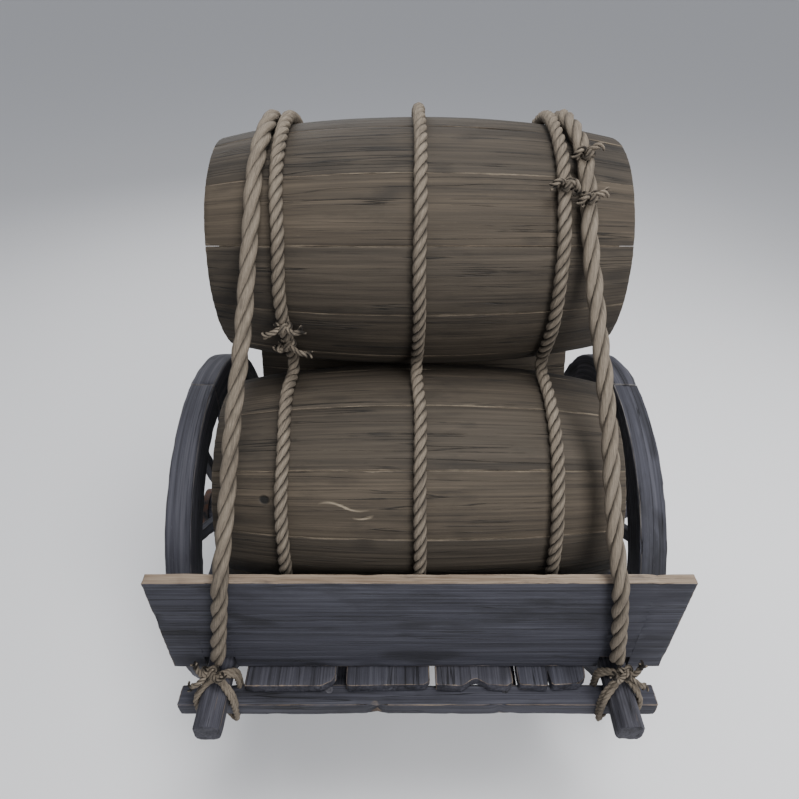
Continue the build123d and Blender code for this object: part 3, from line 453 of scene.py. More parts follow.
class Piece:
    """One visible piece: weathered blocks gathered into a single mesh."""

    def __init__(self, name, seed):
        self.name = name
        self.random = random.Random(seed)
        self.mesh = bmesh.new()
        surface_layers(self.mesh)

    def add(self, part):
        """Take in a finished block."""
        bmesh.ops.recalc_face_normals(part, faces=part.faces)
        holder = mesh_from("holder", part)
        self.mesh.from_mesh(holder)
        bpy.data.meshes.remove(holder)

    def block(self, size, cell, wear, place, nicks=(), steps=(), lit_axis=None, mould=None):
        """Add a block with its grain along its own X, weathered, then put in place.

        nicks are (along, across, half_length, depth, reach): bites out of an
        edge. At each of the steps along X two rows of points stand close
        together, so that the mould, which changes the straight shape, can make
        a square shoulder there. The argument after steps gives the axis of a face that is painted pale as a
        lit top: a painted highlight.
        """
        part = bmesh.new()
        grain, worn, hollow, board = surface_layers(part)
        bmesh.ops.create_cube(part, size=2.0)
        counts = [max(4, round(size[axis] / cell[axis]) + 2) for axis in range(3)]
        for axis in range(3):
            lengthwise = [edge for edge in part.edges
                          if abs(edge.verts[0].co[axis] - edge.verts[1].co[axis]) > 1.0]
            bmesh.ops.subdivide_edges(part, edges=lengthwise, cuts=counts[axis] - 1, use_grid_fill=True)
        shift = Vector([self.random.uniform(-50.0, 50.0) for _ in range(3)])
        shade = self.random.random()
        half = [length / 2 for length in size]
        rows = [self.rows(half[axis], counts[axis], wear) for axis in range(3)]
        for shoulder in steps:
            before = max(index for index, row in enumerate(rows[0]) if row < shoulder)
            rows[0][before] = shoulder - SHOULDER_HALF
            rows[0][before + 1] = shoulder + SHOULDER_HALF
        for vert in part.verts:
            straight = []
            faces = []
            for axis in range(3):
                step = round((vert.co[axis] + 1.0) / 2.0 * counts[axis])
                straight.append(rows[axis][step])
                if step in (0, counts[axis]):
                    faces.append(axis)
            spot = (mould(Vector(straight)) if mould else Vector(straight)) + shift
            to_edge = sorted(half[axis] - abs(straight[axis]) for axis in range(3))[1]
            near = exp(-to_edge / BITE_REACH)
            ridge = wear.ridge * (0.9 + noise.fractal(rates(spot, 4.0, 75.0), 0.7, 2.0, 3))
            dent = max(0.0, noise.noise(rates(spot, 9.0, 21.0)) - 0.38) * 2.4 * wear.gouge
            bite = max(0.0, noise.noise(rates(spot, 16.0, 9.0, 7.0)) - 0.22) * 1.8 * wear.chip
            slow = wear.sway * (0.5 + 0.5 * noise.noise(rates(spot, 3.1, 4.0, 31.0)))
            for along, across, length, depth, reach in nicks:
                off = abs(straight[0] - along) / length
                aside = abs(straight[1] - across) / reach
                if off < 1.0 and aside < 1.0:
                    bite += depth * (1.0 - off) * (1.0 - aside)
                    near = max(near, 1.0 - off)
            depth = max(0.0, ridge) + dent + bite * near + slow
            if len(faces) > 1:
                depth += wear.edge * (0.45 + 0.35 * noise.noise(rates(spot, 22.0, 22.0)))
            for axis in faces:
                cut = min(depth * wear.tight[axis], 0.9 * half[axis])
                straight[axis] -= cut * (1.0 if straight[axis] > 0 else -1.0)
            vert[grain] = spot
            # Painted highlight: the positive face on the given axis is painted pale as if lit from above.
            lit_top = LIT_TOP_VALUE if lit_axis in faces and straight[lit_axis] > 0.0 else 0.0
            bitten = min(1.0, bite * near / 0.003)
            vert[worn] = max(lit_top, min(1.0, exp(-to_edge / RUB_REACH) + 0.5 * bitten))
            # How far a point lies down in dents and between grain ridges; the finishes paint shade there.
            vert[hollow] = min(1.0, (ridge + dent * 1.5) / (2.2 * wear.ridge + 0.8 * wear.gouge))
            vert[board] = shade
            vert.co = place(mould(Vector(straight)) if mould else Vector(straight))
        self.add(part)
        return self

    def rows(self, half, count, wear):
        """Where the grid's rows of points lie along one axis."""
        rim = min(2.0 * wear.edge, 0.2 * half)
        inner = [-half + rim + 2.0 * (half - rim) * step / (count - 2) for step in range(count - 1)]
        return [-half] + inner + [half]

    def close(self, material, nodes, body="cart", smooth_angle=48.0):
        """Turn the gathered blocks into an object that stands for its nodes."""
        for face in self.mesh.faces:
            face.smooth = True
        limit = radians(smooth_angle)
        for edge in self.mesh.edges:
            if edge.is_manifold and edge.calc_face_angle(0.0) > limit:
                edge.smooth = False
        show(self.name, mesh_from(self.name, self.mesh), material, nodes, body)


def laid(centre, along, across):
    """Places a block's X along one axis and its Y along another."""
    along, across = Vector(along), Vector(across)
    up = along.cross(across)
    turn = Matrix((along, across, up)).transposed()
    return lambda spot: turn @ spot + centre


ALONG_X = ((1, 0, 0), (0, 1, 0))
ALONG_Y = ((0, 1, 0), (-1, 0, 0))
UPRIGHT = ((1, 0, 0), (0, 0, 1))


def beam(name, node, wear, seed, axes=ALONG_X, cell=(0.014, 0.006, 0.006), nicks=(), shape=None):
    """A straight timber that fills a node's box."""
    size = extent(node)
    lengths = (size.x, size.y, size.z) if axes is ALONG_X else (size.y, size.x, size.z)
    place = laid(middle(node), *axes)
    put = (lambda spot: place(shape(spot))) if shape else place
    return Piece(name, seed).block(lengths, cell, wear, put, nicks)


# ---- barrels
def barrel_radius(x):
    """Outside radius of a barrel at a distance from its middle."""
    x = min(abs(x), BARREL_LENGTH / 2)
    base = BILGE_RADIUS - BILGE_ARC
    if x <= BILGE_HALF:
        return base + sqrt(BILGE_ARC**2 - x**2)
    rise = sqrt(BILGE_ARC**2 - BILGE_HALF**2)
    centre_x = BILGE_HALF * (1 - QUARTER_ARC / BILGE_ARC)
    centre_r = base + rise * (1 - QUARTER_ARC / BILGE_ARC)
    return centre_r + sqrt(QUARTER_ARC**2 - (x - centre_x)**2)


def barrel(name, seam_angle, seed):
    """Staves and heads of one barrel."""
    centre = middle(f"{name}_staves")
    step = 2 * pi / STAVE_COUNT
    wide = BILGE_RADIUS * step - STAVE_GAP
    staves = Piece(f"{name}_coopered_staves", seed)
    for index in range(STAVE_COUNT):
        turn = step / 2 - radians(seam_angle) - index * step
        sunk = staves.random.uniform(0.0, STAVE_SINK)

        def bend(spot):
            end = max(0.0, abs(spot.x) - BARREL_LENGTH / 2 + CHIME_LONG) / CHIME_LONG
            inside = STAVE_THICK / 2 - spot.z
            radius = barrel_radius(spot.x) - sunk - inside * (1.0 - CHIME_THIN * end)
            angle = turn + spot.y / BILGE_RADIUS
            return centre + Vector((spot.x, radius * cos(angle), radius * sin(angle)))

        staves.block((BARREL_LENGTH, wide, STAVE_THICK), (0.013, 0.0075, 0.012), COOPERED, bend)
    staves.close(OAK, [f"{name}_staves"])

    for side, sign in SIDES:
        node = f"{name}_{side}_head"
        heart = middle(node)
        size = extent(node)
        radius = size.z / 2
        width = size.z / HEAD_BOARDS
        head = Piece(f"{name}_{side}_boards", seed + 10 + sign)
        for index in range(HEAD_BOARDS):
            level = -radius + (index + 0.5) * width

            def trim(spot):
                z = level + spot.y
                chord = sqrt(max(0.0, 1.0 - (z / radius)**2))
                return heart + Vector((sign * spot.z, spot.x * max(chord, 0.03), z))

            head.block((size.z, width - HEAD_GAP, size.x), (0.012, 0.008, 0.008), FITTED, trim)
        head.close(OAK_HEAD, [node])


# ---- wheels
def wheel(side, sign):
    """Felloes, spokes and nave of one wheel."""
    body = f"{side}_wheel"
    centre = middle(f"{side}_felloes")
    wide = extent(f"{side}_felloes").x
    inner = WHEEL_RADIUS - FELLOE_DEPTH
    mean = WHEEL_RADIUS - FELLOE_DEPTH / 2
    step = 2 * pi / FELLOE_COUNT
    rim = Piece(f"{side}_wheel_rim", 300 + sign)
    for index in range(FELLOE_COUNT):
        turn = (index + 0.5) * step

        def bend(spot):
            angle = turn + spot.x / mean
            radius = mean + spot.y
            return centre + Vector((spot.z, -radius * sin(angle), radius * cos(angle)))

        size = (mean * step - FELLOE_GAP, FELLOE_DEPTH, wide)
        rim.block(size, (0.012, 0.0075, 0.0075), WHEELWORK, bend)
    rim.close(WHEEL_TIMBER, [f"{side}_felloes"], body)

    spokes = Piece(f"{side}_wheel_spokes", 320 + sign)
    root, tip = NAVE_RADIUS - 0.006, inner + 0.004
    for index in range(SPOKE_COUNT):
        turn = (index + 0.5) * 2 * pi / SPOKE_COUNT
        outward = Vector((0.0, -sin(turn), cos(turn)))
        sideways = Vector((0.0, cos(turn), sin(turn)))

        def taper(spot):
            share = (spot.x + (tip - root) / 2) / (tip - root)
            radius = root + share * (tip - root)
            across = spot.y * (1.0 - SPOKE_TAPER * share)
            thick = spot.z * (1.0 - SPOKE_WAIST * sin(pi * share))
            return centre + outward * radius + sideways * across + Vector((thick, 0.0, 0.0))

        spokes.block((tip - root, SPOKE_WIDE, SPOKE_THICK), (0.012, 0.006, 0.006), WHEELWORK, taper)
    spokes.close(WHEEL_TIMBER, [f"{side}_spokes"], body)

    low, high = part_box(f"{side}_nave")
    start, length = (low.x if sign > 0 else high.x), high.x - low.x
    outline = [(start + sign * along, radius) for along, radius in NAVE_PROFILE]
    outline += [(start + sign * (length - along), radius) for along, radius in reversed(NAVE_PROFILE)]
    nave = bmesh.new()
    verts = [nave.verts.new((x, 0.0, radius)) for x, radius in outline]
    edges = [nave.edges.new(pair) for pair in zip(verts, verts[1:] + verts[:1])]
    bmesh.ops.spin(nave, geom=verts + edges, cent=(0, 0, 0), axis=(1, 0, 0), angle=2 * pi,
                   steps=48, use_merge=True, use_duplicate=False)
    bmesh.ops.remove_doubles(nave, verts=nave.verts, dist=1e-5)
    grain, worn, _, shade = surface_layers(nave)
    for vert in nave.verts:
        radius = hypot(vert.co.y, vert.co.z)
        vert[grain] = vert.co + Vector((0.0, 3.0 * sign, 0.0))
        vert[worn] = 0.6 if abs(radius - NAVE_END_RADIUS) < 0.004 else 0.0
        vert[shade] = 0.5
        rough = 0.0008 * (1.0 + noise.noise(vert.co * 60.0))
        if radius > NAVE_BORE + 0.005:
            vert.co.y *= 1.0 - rough / radius
            vert.co.z *= 1.0 - rough / radius
        vert.co += Vector((0.0, 0.0, AXLE_Z))
    piece = Piece(f"{side}_wheel_nave", 340 + sign)
    piece.add(nave)
    piece.close(WHEEL_TIMBER, [f"{side}_nave"], body)


# ---- cart frame
PLANK_ENDS = (             # across each plank and back from its end, in millimetres
    ((0, 0), (200, 0), (226, 14), (238, 34)),
    ((0, 6), (10, 0), (205, 3), (224, 16)),
    ((0, 4), (70, 0), (96, 17), (110, 20), (138, 3), (186, 0), (205, 12)),
    ((0, 8), (12, 2), (78, 0), (84, 44), (90, 2), (160, 6), (184, 26)),
)


def worn_end(ends, share):
    """How far a worn plank end stands back, at a share of the plank's width."""
    at = share * ends[-1][0]
    for (x0, y0), (x1, y1) in zip(ends, ends[1:]):
        if at <= x1:
            return 0.001 * (y0 + (y1 - y0) * (at - x0) / (x1 - x0))
    return 0.001 * ends[-1][1]


def planks():
    """Four bed planks; the grain runs along Y."""
    for index, ends in enumerate(PLANK_ENDS, start=1):
        node = f"bed_plank_{index}"
        size = extent(node)
        centre = middle(node)

        def place(spot):
            share = min(1.0, max(0.0, 0.5 - spot.y / size.x))
            front = worn_end(ends, share) * max(0.0, (-spot.x / (size.y / 2)))**6
            return centre + Vector((-spot.y, spot.x + (front if spot.x < 0 else 0.0), spot.z))

        plank = Piece(f"worn_plank_{index}", 400 + index)
        plank.block((size.y, size.x, size.z), (0.015, 0.006, 0.007), HEWN, place).close(TIMBER, [node])


def crossbeams():
    """Beams that lie across the cart."""
    chips = [(-0.107, -CROSSBEAM_WIDE / 2, 0.028, 0.015, 0.022),
             (0.21, -CROSSBEAM_WIDE / 2, 0.018, 0.004, 0.010)]
    kinds = (("worn", "front", HEWN, chips), ("worn", "rear", HEWN, ()), ("sawn", "middle", SAWN, ()))
    for seed, (kind, place, wear, nicks) in enumerate(kinds, start=411):
        node = f"{place}_crossbeam"
        beam(f"{kind}_{node}", node, wear, seed, nicks=nicks).close(TIMBER, [node])

    node = "inner_crossbeams"
    low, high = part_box(node)
    size = extent("middle_crossbeam")
    pair = Piece("sawn_inner_crossbeams", 414)
    for y in (low.y + size.y / 2, high.y - size.y / 2):
        centre = Vector((0.0, y, middle(node).z))
        pair.block(size, (0.014, 0.007, 0.007), SAWN, laid(centre, *ALONG_X))
    pair.close(TIMBER, [node])


def bearers():
    """Long bearers under the crossbeams, cut back below at both ends."""
    for side, _ in SIDES:
        node = f"{side}_bearer"
        size = extent(node)

        def scarf(spot):
            low = 0.5 - spot.z / size.z
            end = max(0.0, abs(spot.x) / (size.y / 2) - 0.9) / 0.1
            pull = 0.029 * low * end
            return Vector((spot.x - pull * (1 if spot.x > 0 else -1), spot.y, spot.z))

        beam(f"sawn_{side}_bearer", node, SAWN, 420 + len(side), ALONG_Y, shape=scarf).close(TIMBER, [node])


def axle():
    """The axle tree: a squared beam with round arms."""
    low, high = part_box("axle_tree")
    depth = 2 * (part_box("left_bearer")[0].z - AXLE_Z)
    tree = Piece("hewn_axle_tree", 430).block(
        (2 * AXLE_BEAM_HALF, high.y - low.y, depth), (0.014, 0.007, 0.007), HEWN,
        laid(Vector((0.0, 0.0, AXLE_Z)), *ALONG_X))
    reach = high.x - AXLE_BEAM_HALF
    for sign in (-1, 1):
        arm = bmesh.new()
        bmesh.ops.create_cone(arm, cap_ends=True, segments=40, radius1=ARM_RADIUS,
                              radius2=ARM_RADIUS, depth=reach + 0.01)
        bmesh.ops.bevel(arm, geom=[e for e in arm.edges if e.calc_face_angle(0.0) > 1.0],
                        offset=0.004, segments=2, affect="EDGES", profile=0.5, material=-1)
        turn = Matrix.Rotation(radians(90) * sign, 4, "Y")
        shift = Matrix.Translation((sign * (AXLE_BEAM_HALF + reach / 2 - 0.005), 0.0, AXLE_Z))
        bmesh.ops.transform(arm, matrix=shift @ turn, verts=arm.verts)
        grain = surface_layers(arm)[0]
        for vert in arm.verts:
            vert[grain] = vert.co
        tree.add(arm)
    tree.close(TIMBER, ["axle_tree"])


def poles():
    """Hewn eight-sided side poles."""
    half = POLE_ACROSS / 2
    for side, _ in SIDES:
        node = f"{side}_side_pole"
        seed = 440 + len(side)

        def hew(spot):
            over = abs(spot.y) + abs(spot.z) - (half + POLE_FLAT)
            facet = round(atan2(spot.z, spot.y) / (pi / 4))
            stroke = 0.5 + 0.5 * noise.noise(Vector((spot.x * 7.0, facet * 5.0, seed)))
            inward = 0.0035 * stroke
            y, z = spot.y, spot.z
            if over > 0:
                y -= (over / 2) * (1 if y > 0 else -1)
                z -= (over / 2) * (1 if z > 0 else -1)
            size = hypot(y, z)
            if size > 0:
                y -= inward * y / size
                z -= inward * z / size
            return Vector((spot.x, y, z))

        pole = beam(f"hewn_{side}_pole", node, HEWN, seed, ALONG_Y, (0.014, 0.0055, 0.0055), shape=hew)
        worn = pole.mesh.verts.layers.float["wear"]
        centre = middle(node)
        for vert in pole.mesh.verts:
            off = vert.co - centre
            angle = atan2(off.z, off.x) / (pi / 4) - 0.5
            corner = abs(angle - round(angle)) * (pi / 4) * half
            tip = max(0.0, extent(node).y / 2 - abs(off.y))
            rim = max(0.0, half - hypot(off.x, off.z))
            vert[worn] = max(exp(-corner / 0.004), exp(-tip / 0.004)) * exp(-rim / 0.008)
        pole.close(TIMBER, [node], smooth_angle=40.0)


def end_boards():
    """Upright boards, notched over the side poles, with the top face painted pale as a lit top: a painted
    highlight.
    """
    clear = POLE_ACROSS / 2 + POLE_PLAY
    notch = POLE_TOP + POLE_PLAY - BED_HEIGHT
    shoulders = [sign * POLE_X + edge * clear for sign in (-1, 1) for edge in (-1, 1)]
    for name, seed in (("front_board", 451), ("rear_board", 452)):
        size = extent(name)
        top = size.z / 2

        def notched(spot):
            if abs(abs(spot.x) - POLE_X) < clear:
                spot.y = top - (top - spot.y) * (1.0 - notch / size.z)
            return spot

        nicks = [(0.285, top, 0.022, 0.004, 0.012), (0.555, top, 0.028, 0.005, 0.012),
                 (-0.33, top, 0.018, 0.003, 0.012)]
        board = Piece(f"worn_{name}", seed)
        # The top face is painted pale as a lit top: a painted highlight.
        board.block((size.x, size.z, size.y), (0.013, 0.0065, 0.0065), SAWN,
                    laid(middle(name), *UPRIGHT), nicks, shoulders, lit_axis=1, mould=notched)
        board.close(TIMBER, [name])


def prop(node, sign):
    """A leg that swings; round at the pivot and level at the foot."""
    low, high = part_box(node)
    half = PROP_WIDE / 2
    pivot = Vector(((low.x + high.x) / 2, sign * PROP_PIVOT_Y, high.z - half))
    foot = Vector((pivot.x, sign * PROP_FOOT_Y, 0.0))
    lean = (foot - pivot).normalized()
    across = Vector((0.0, -lean.z, lean.y))
    length = (foot - pivot).length + half + 0.004
    ankle = length - PROP_WIDE - PROP_ANKLE

    def place(spot):
        along = spot.x + length / 2 - half
        aside = spot.y
        if along < 0:
            aside *= sqrt(max(0.02, 1.0 - (along / half)**2))
        point = pivot + lean * along + across * aside + Vector((spot.z, 0.0, 0.0))
        if along > ankle:
            share = min(1.0, (along - ankle) / PROP_ANKLE)
            level = point - lean * (point.z / lean.z)
            point = point.lerp(level, share**4) if share < 1.0 else level
        point.z = max(point.z, 0.0)
        return point

    leg = Piece(f"hewn_{node}", 460 + len(node))
    leg.block((length, PROP_WIDE, high.x - low.x), (0.013, 0.006, 0.006), SAWN, place)
    leg.close(TIMBER, [node], node)


# ---- routes
ARC_SPACING = 0.006
LASHING_SPACING = 0.0065
TIE_SPACING = 0.008
CORD_SPACING = 0.005


def new_spline(kind, points):
    """A curve with one spline through points; returns both."""
    curve = bpy.data.curves.new("route", "CURVE")
    curve.dimensions = "3D"
    spline = curve.splines.new(kind)
    spline.points.add(len(points) - 1)
    for item, point in zip(spline.points, points):
        item.co = (*point, 1.0)
    return curve, spline


def curve_mesh(curve):
    """The mesh that a curve makes."""
    holder = bpy.data.objects.new("route", curve)
    mesh = bpy.data.meshes.new_from_object(holder)
    bpy.data.objects.remove(holder)
    return mesh


def smooth_route(points, spacing):
    """Evenly spaced points along a spline through a few guiding points."""
    curve, spline = new_spline("NURBS", points)
    spline.order_u = 3
    spline.use_endpoint_u = True
    spline.resolution_u = 24
    return evenly([vert.co.copy() for vert in curve_mesh(curve).vertices], spacing)


def distances(line):
    """How far along a line each of its points is."""
    far = [0.0]
    for a, b in zip(line, line[1:]):
        far.append(far[-1] + (b - a).length)
    return far


def evenly(line, spacing):
    """Points at an even spacing along a line."""
    far = distances(line)
    count = max(2, round(far[-1] / spacing))
    step = far[-1] / count
    points, target = [line[0]], step
    for a, b, travelled in zip(line, line[1:], far):
        run = (b - a).length
        while run > 0 and travelled + run >= target - 1e-9 and len(points) < count:
            points.append(a.lerp(b, (target - travelled) / run))
            target += step
    points.append(line[-1])
    return points


def arc(centre, radius, start, end, x):
    """Points of an arc in the plane at x, angles in radians from +Y to +Z."""
    count = max(2, round(abs(end - start) * radius / ARC_SPACING))
    angles = [start + (end - start) * index / count for index in range(count + 1)]
    return [Vector((x, centre[0] + radius * cos(a), centre[1] + radius * sin(a))) for a in angles]


def mirrored(line):
    """A route that ends at Y = 0, carried on to the far side."""
    return line + [Vector((p.x, -p.y, p.z)) for p in reversed(line[:-1])]


def wobble(route, amount, seed, period=0.16):
    """Move a route a little to the sides, as a hand-laid rope lies."""
    moved = []
    for index, (point, travelled) in enumerate(zip(route, distances(route))):
        fade = min(1.0, index / 12, (len(route) - 1 - index) / 12)
        sway = noise.noise(Vector((travelled / period, seed * 7.3, 0.0)))
        moved.append(point + Vector((amount * sway * fade, 0.0, 0.0)))
    return moved


# ---- ropes
def steady_frames(route, closed):
    """Directions along and beside a route, and the turn a closed one lacks at its seam."""
    count = len(route)
    tangents = []
    for index in range(count):
        ahead = route[(index + 1) % count] if closed else route[min(index + 1, count - 1)]
        back = route[index - 1] if closed or index else route[0]
        tangents.append((ahead - back).normalized())
    side = tangents[0].orthogonal().normalized()
    sides = []
    for tangent in tangents:
        side = (side - tangent * side.dot(tangent)).normalized()
        sides.append(side)
    if not closed:
        return tangents, sides, 0.0
    last = (sides[-1] - tangents[0] * sides[-1].dot(tangents[0])).normalized()
    return tangents, sides, atan2(sides[0].cross(last).dot(tangents[0]), sides[0].dot(last))


def rope(name, route, radius, lay, node=None, closed=False, flare=(0.0, 0.0), seed=0):
    """A laid rope on the cart: strands wound round a route, each a smooth tube.

    lay is the length of one turn. flare is how far the strands part at the
    two ends, as a share of the radius.
    """
    rng = random.Random(seed)
    count = len(route)
    thick = (radius - radius / (1.0 + sin(pi / STRANDS))) * 1.20
    spread = radius - thick
    tangents, sides, mismatch = steady_frames(route, closed)
    lengths = distances(route)
    total = lengths[-1]
    turns = total / lay
    if closed:
        total += (route[0] - route[-1]).length
        turns = max(1, round(total / lay))
    bm = bmesh.new()
    grain, _, hollow, _ = surface_layers(bm)
    shift = rng.uniform(-20.0, 20.0)
    for strand in range(STRANDS):
        drift = [Vector([rng.uniform(-1.0, 1.0) for _ in range(3)]) for _ in range(2)]
        centres, outs, widths = [], [], []
        for point, tangent, side, along in zip(route, tangents, sides, lengths):
            share = along / total
            angle = 2 * pi * (turns * share + strand / STRANDS) - mismatch * share
            out = side * cos(angle) + tangent.cross(side) * sin(angle)
            swell = 1.0 + 0.05 * noise.noise(Vector((along * 30.0, strand * 3.0, shift)))
            reach = spread * swell
            tip = 1.0
            for end, away in enumerate((along, total - along)):
                if flare[end]:
                    loose = max(0.0, 1.0 - away / (2.2 * radius))
                    reach += flare[end] * radius * loose**1.5
                    out += drift[end] * 0.35 * loose
                    tip = min(tip, 1.0 - 0.35 * loose)
            centres.append(point + out * reach)
            outs.append(out.normalized())
            widths.append(swell * tip)
        curve, spline = new_spline("POLY", centres)
        curve.bevel_depth = thick
        curve.bevel_resolution = 2
        curve.use_fill_caps = not closed
        spline.use_cyclic_u = closed
        for item, width in zip(spline.points, widths):
            item.radius = width
        mesh = curve_mesh(curve)
        first = len(bm.verts)
        bm.from_mesh(mesh)
        bm.verts.ensure_lookup_table()
        ring = max(1, len(mesh.vertices) // count)
        for index, vert in enumerate(bm.verts[first:]):
            station = min(count - 1, index // ring)
            tangent, out, along = tangents[station], outs[station], lengths[station]
            off = vert.co - centres[station]
            facing = off.normalized().dot(out) if off.length > 1e-6 else 1.0
            angle = atan2(off.dot(tangent.cross(out)), off.dot(out))
            vert[grain] = (along + shift + strand * 3.1, angle * thick + along * 0.45, 0.0)
            # Painted shade where this strand meets its neighbours, strongest on the side facing away from
            # its outside.
            vert[hollow] = min(1.0, max(0.0, 0.42 - facing * 0.95))
        bpy.data.meshes.remove(mesh)
    bmesh.ops.remove_doubles(bm, verts=bm.verts, dist=1e-6)
    for face in bm.faces:
        face.smooth = True
    show(name, mesh_from(name, bm), HEMP, [node] if node else ())


# Radius of the loops of a knot, and of the rope in it.
STOPPER = (0.0095, 0.0085)
LOAD_KNOT = (0.0078, 0.0072)
POLE_KNOT = (0.0072, 0.0070)
END_RADIUS = 0.0072

# Length of one turn of the strands.
LASHING_LAY = 0.092
TIE_LAY = 0.205
CORD_LAY = 0.05
KNOT_LAY = 0.06
END_LAY = 0.04

# Where knots sit on the top barrel: degrees up from the middle of its front.
VALLEY_RISES = (-10.0, -21.0)
CROWN_RISE = 47.0
TIE_RISES = (61.0, 41.0)

# Loose ends of the knots: along X, away from the load, and up.
VALLEY_TAILS = (((-0.045, 0.012, -0.016), (0.052, 0.016, 0.006)),
                ((0.058, 0.014, -0.018), (-0.024, 0.014, 0.012)))
CROWN_TAILS = ((-0.034, 0.016, -0.014), (0.026, 0.018, -0.030))
TIE_TAILS = ((0.030, 0.012, 0.006), (-0.026, 0.014, -0.022))
POLE_TAILS = ((0.030, 0.004, 0.046), (-0.042, 0.018, 0.022), (0.048, 0.022, -0.030))


def lump(name, centre, seed, size, thick):
    """A round knot: a short rope that follows a trefoil."""
    points = []
    for index in range(61):
        t = 2 * pi * index / 60 * 0.96
        points.append(centre + size * Vector((sin(t) + 1.3 * sin(2 * t),
                                              cos(t) - 1.3 * cos(2 * t), -0.9 * sin(3 * t))))
    rope(name, evenly(points, 0.004), thick, KNOT_LAY, seed=seed, flare=(0.3, 0.3))


def loose_ends(name, heart, out, tails, seed):
    """Short rope ends that leave a knot and open at their tips."""
    for number, (x, away, up) in enumerate(tails, start=1):
        tip = heart + Vector((x, 0.0, up)) + out * away
        mid = heart + Vector((x * 0.5, 0.0, up * 0.1)) + out * (away + 0.010)
        late = heart + Vector((x * 0.85, 0.0, up * 0.55)) + out * (away + 0.005)
        line = smooth_route([heart, mid, late, tip], 0.003)
        rope(f"{name}_end_{number}", line, END_RADIUS, END_LAY, seed=seed * 7 + number, flare=(0.0, 0.9))


def knot(name, route, rise, radius, tails, seed):
    """A knot on the top barrel's part of a rope, with loose ends."""
    def off(point):
        return abs(degrees(atan2(point.z - TOP_BARREL_Z, -point.y)) - rise)

    spot = min(route, key=off)
    out = Vector((0.0, spot.y, spot.z - TOP_BARREL_Z)).normalized()
    heart = spot + out * (radius * 0.9)
    lump(name, heart, seed, *LOAD_KNOT)
    loose_ends(name, heart, out, tails, seed)


def lashing_route(x):
    """From a plank, over all three barrels, to the same plank."""
    wrap = barrel_radius(x) + LASHING_RADIUS + ROPE_CLEAR
    low, top = (-BARREL_SPREAD, LOW_BARREL_Z), (0.0, TOP_BARREL_Z)
    apart = hypot(top[0] - low[0], top[1] - low[1])
    lean = atan2(top[1] - low[1], top[0] - low[0])
    spread = acos(apart / 2 / (wrap + VALLEY_BEND))
    low_end, top_end = lean + spread, lean + pi - spread
    bend = (low[0] + (wrap + VALLEY_BEND) * cos(low_end), low[1] + (wrap + VALLEY_BEND) * sin(low_end))
    side = BARREL_SPREAD + wrap
    line = [Vector((x, -side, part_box("left_lashing")[0].z + 0.010)), Vector((x, -side, LOW_BARREL_Z))]
    line += arc(low, wrap, pi, low_end, x)[1:]
    line += arc(bend, VALLEY_BEND, low_end - pi, top_end - pi, x)[1:]
    line += arc(top, wrap, top_end, pi / 2, x)[1:]
    return evenly(mirrored(line), LASHING_SPACING)


def lashings():
    """Three barrel lashings, each with a stopper knot under its plank."""
    places = (("left_lashing", -LASHING_X), ("middle_lashing", 0.0), ("right_lashing", LASHING_X))
    for seed, (node, x) in enumerate(places, start=1):
        route = wobble(lashing_route(x), 0.005, seed)
        rope(f"twisted_{node}", route, LASHING_RADIUS, LASHING_LAY, node, seed=seed)
        if x < 0:
            for number, (rise, tails) in enumerate(zip(VALLEY_RISES, VALLEY_TAILS), start=1):
                knot(f"{node}_knot_{number}", route, rise, LASHING_RADIUS, tails, seed + number)
        if x > 0:
            knot(f"{node}_knot", route, CROWN_RISE, LASHING_RADIUS, CROWN_TAILS, seed)
        for end in (0, -1):
            foot = route[end] + Vector((0.0, 0.0, 0.012))
            lump(f"{node}_stopper_{'rear' if end else 'front'}", foot, seed + 20 + end, *STOPPER)


def tie_route(node, sign):
    """From a pole lashing, over a board and the top barrel, to the far pole lashing."""
    wrap = barrel_radius(TIE_TOP_X) + TIE_RADIUS + ROPE_CLEAR
    bend_y = BOARD_FRONT + TIE_RADIUS + ROPE_CLEAR - TIE_BEND
    rise = TOP_BARREL_Z - BOARD_TOP
    slope = atan2(rise, bend_y) + asin((wrap - TIE_BEND) / hypot(rise, bend_y))
    line = [Vector((sign * TIE_FOOT_X, -bend_y - TIE_BEND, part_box(node)[0].z + 0.004))]
    flat = arc((-bend_y, BOARD_TOP), TIE_BEND, pi, pi / 2 + slope, 0.0)
    flat += arc((0.0, TOP_BARREL_Z), wrap, pi / 2 + slope, pi / 2, 0.0)
    far = distances(flat)
    for point, travelled in zip(flat, far):
        share = travelled / far[-1]
        x = TIE_BOARD_X + (TIE_SHOULDER_X - TIE_BOARD_X) * min(1.0, share / TIE_SHOULDER)
        if share > TIE_SHOULDER:
            x = TIE_SHOULDER_X + (TIE_TOP_X - TIE_SHOULDER_X) * (share - TIE_SHOULDER) / 0.38
        line.append(Vector((sign * x, point.y, point.z)))
    return evenly(mirrored(line), TIE_SPACING)


def tie_ropes():
    """Two thick ropes over the whole load."""
    for seed, (side, sign) in enumerate(SIDES, start=31):
        node = f"{side}_tie_rope"
        route = wobble(tie_route(node, sign), 0.008, seed, 0.3)
        rope(f"twisted_{node}", route, TIE_RADIUS, TIE_LAY, node, seed=seed)
        if sign > 0:
            for number, rise in enumerate(TIE_RISES, start=1):
                knot(f"{node}_knot_{number}", route, rise, TIE_RADIUS, TIE_TAILS, seed + number)


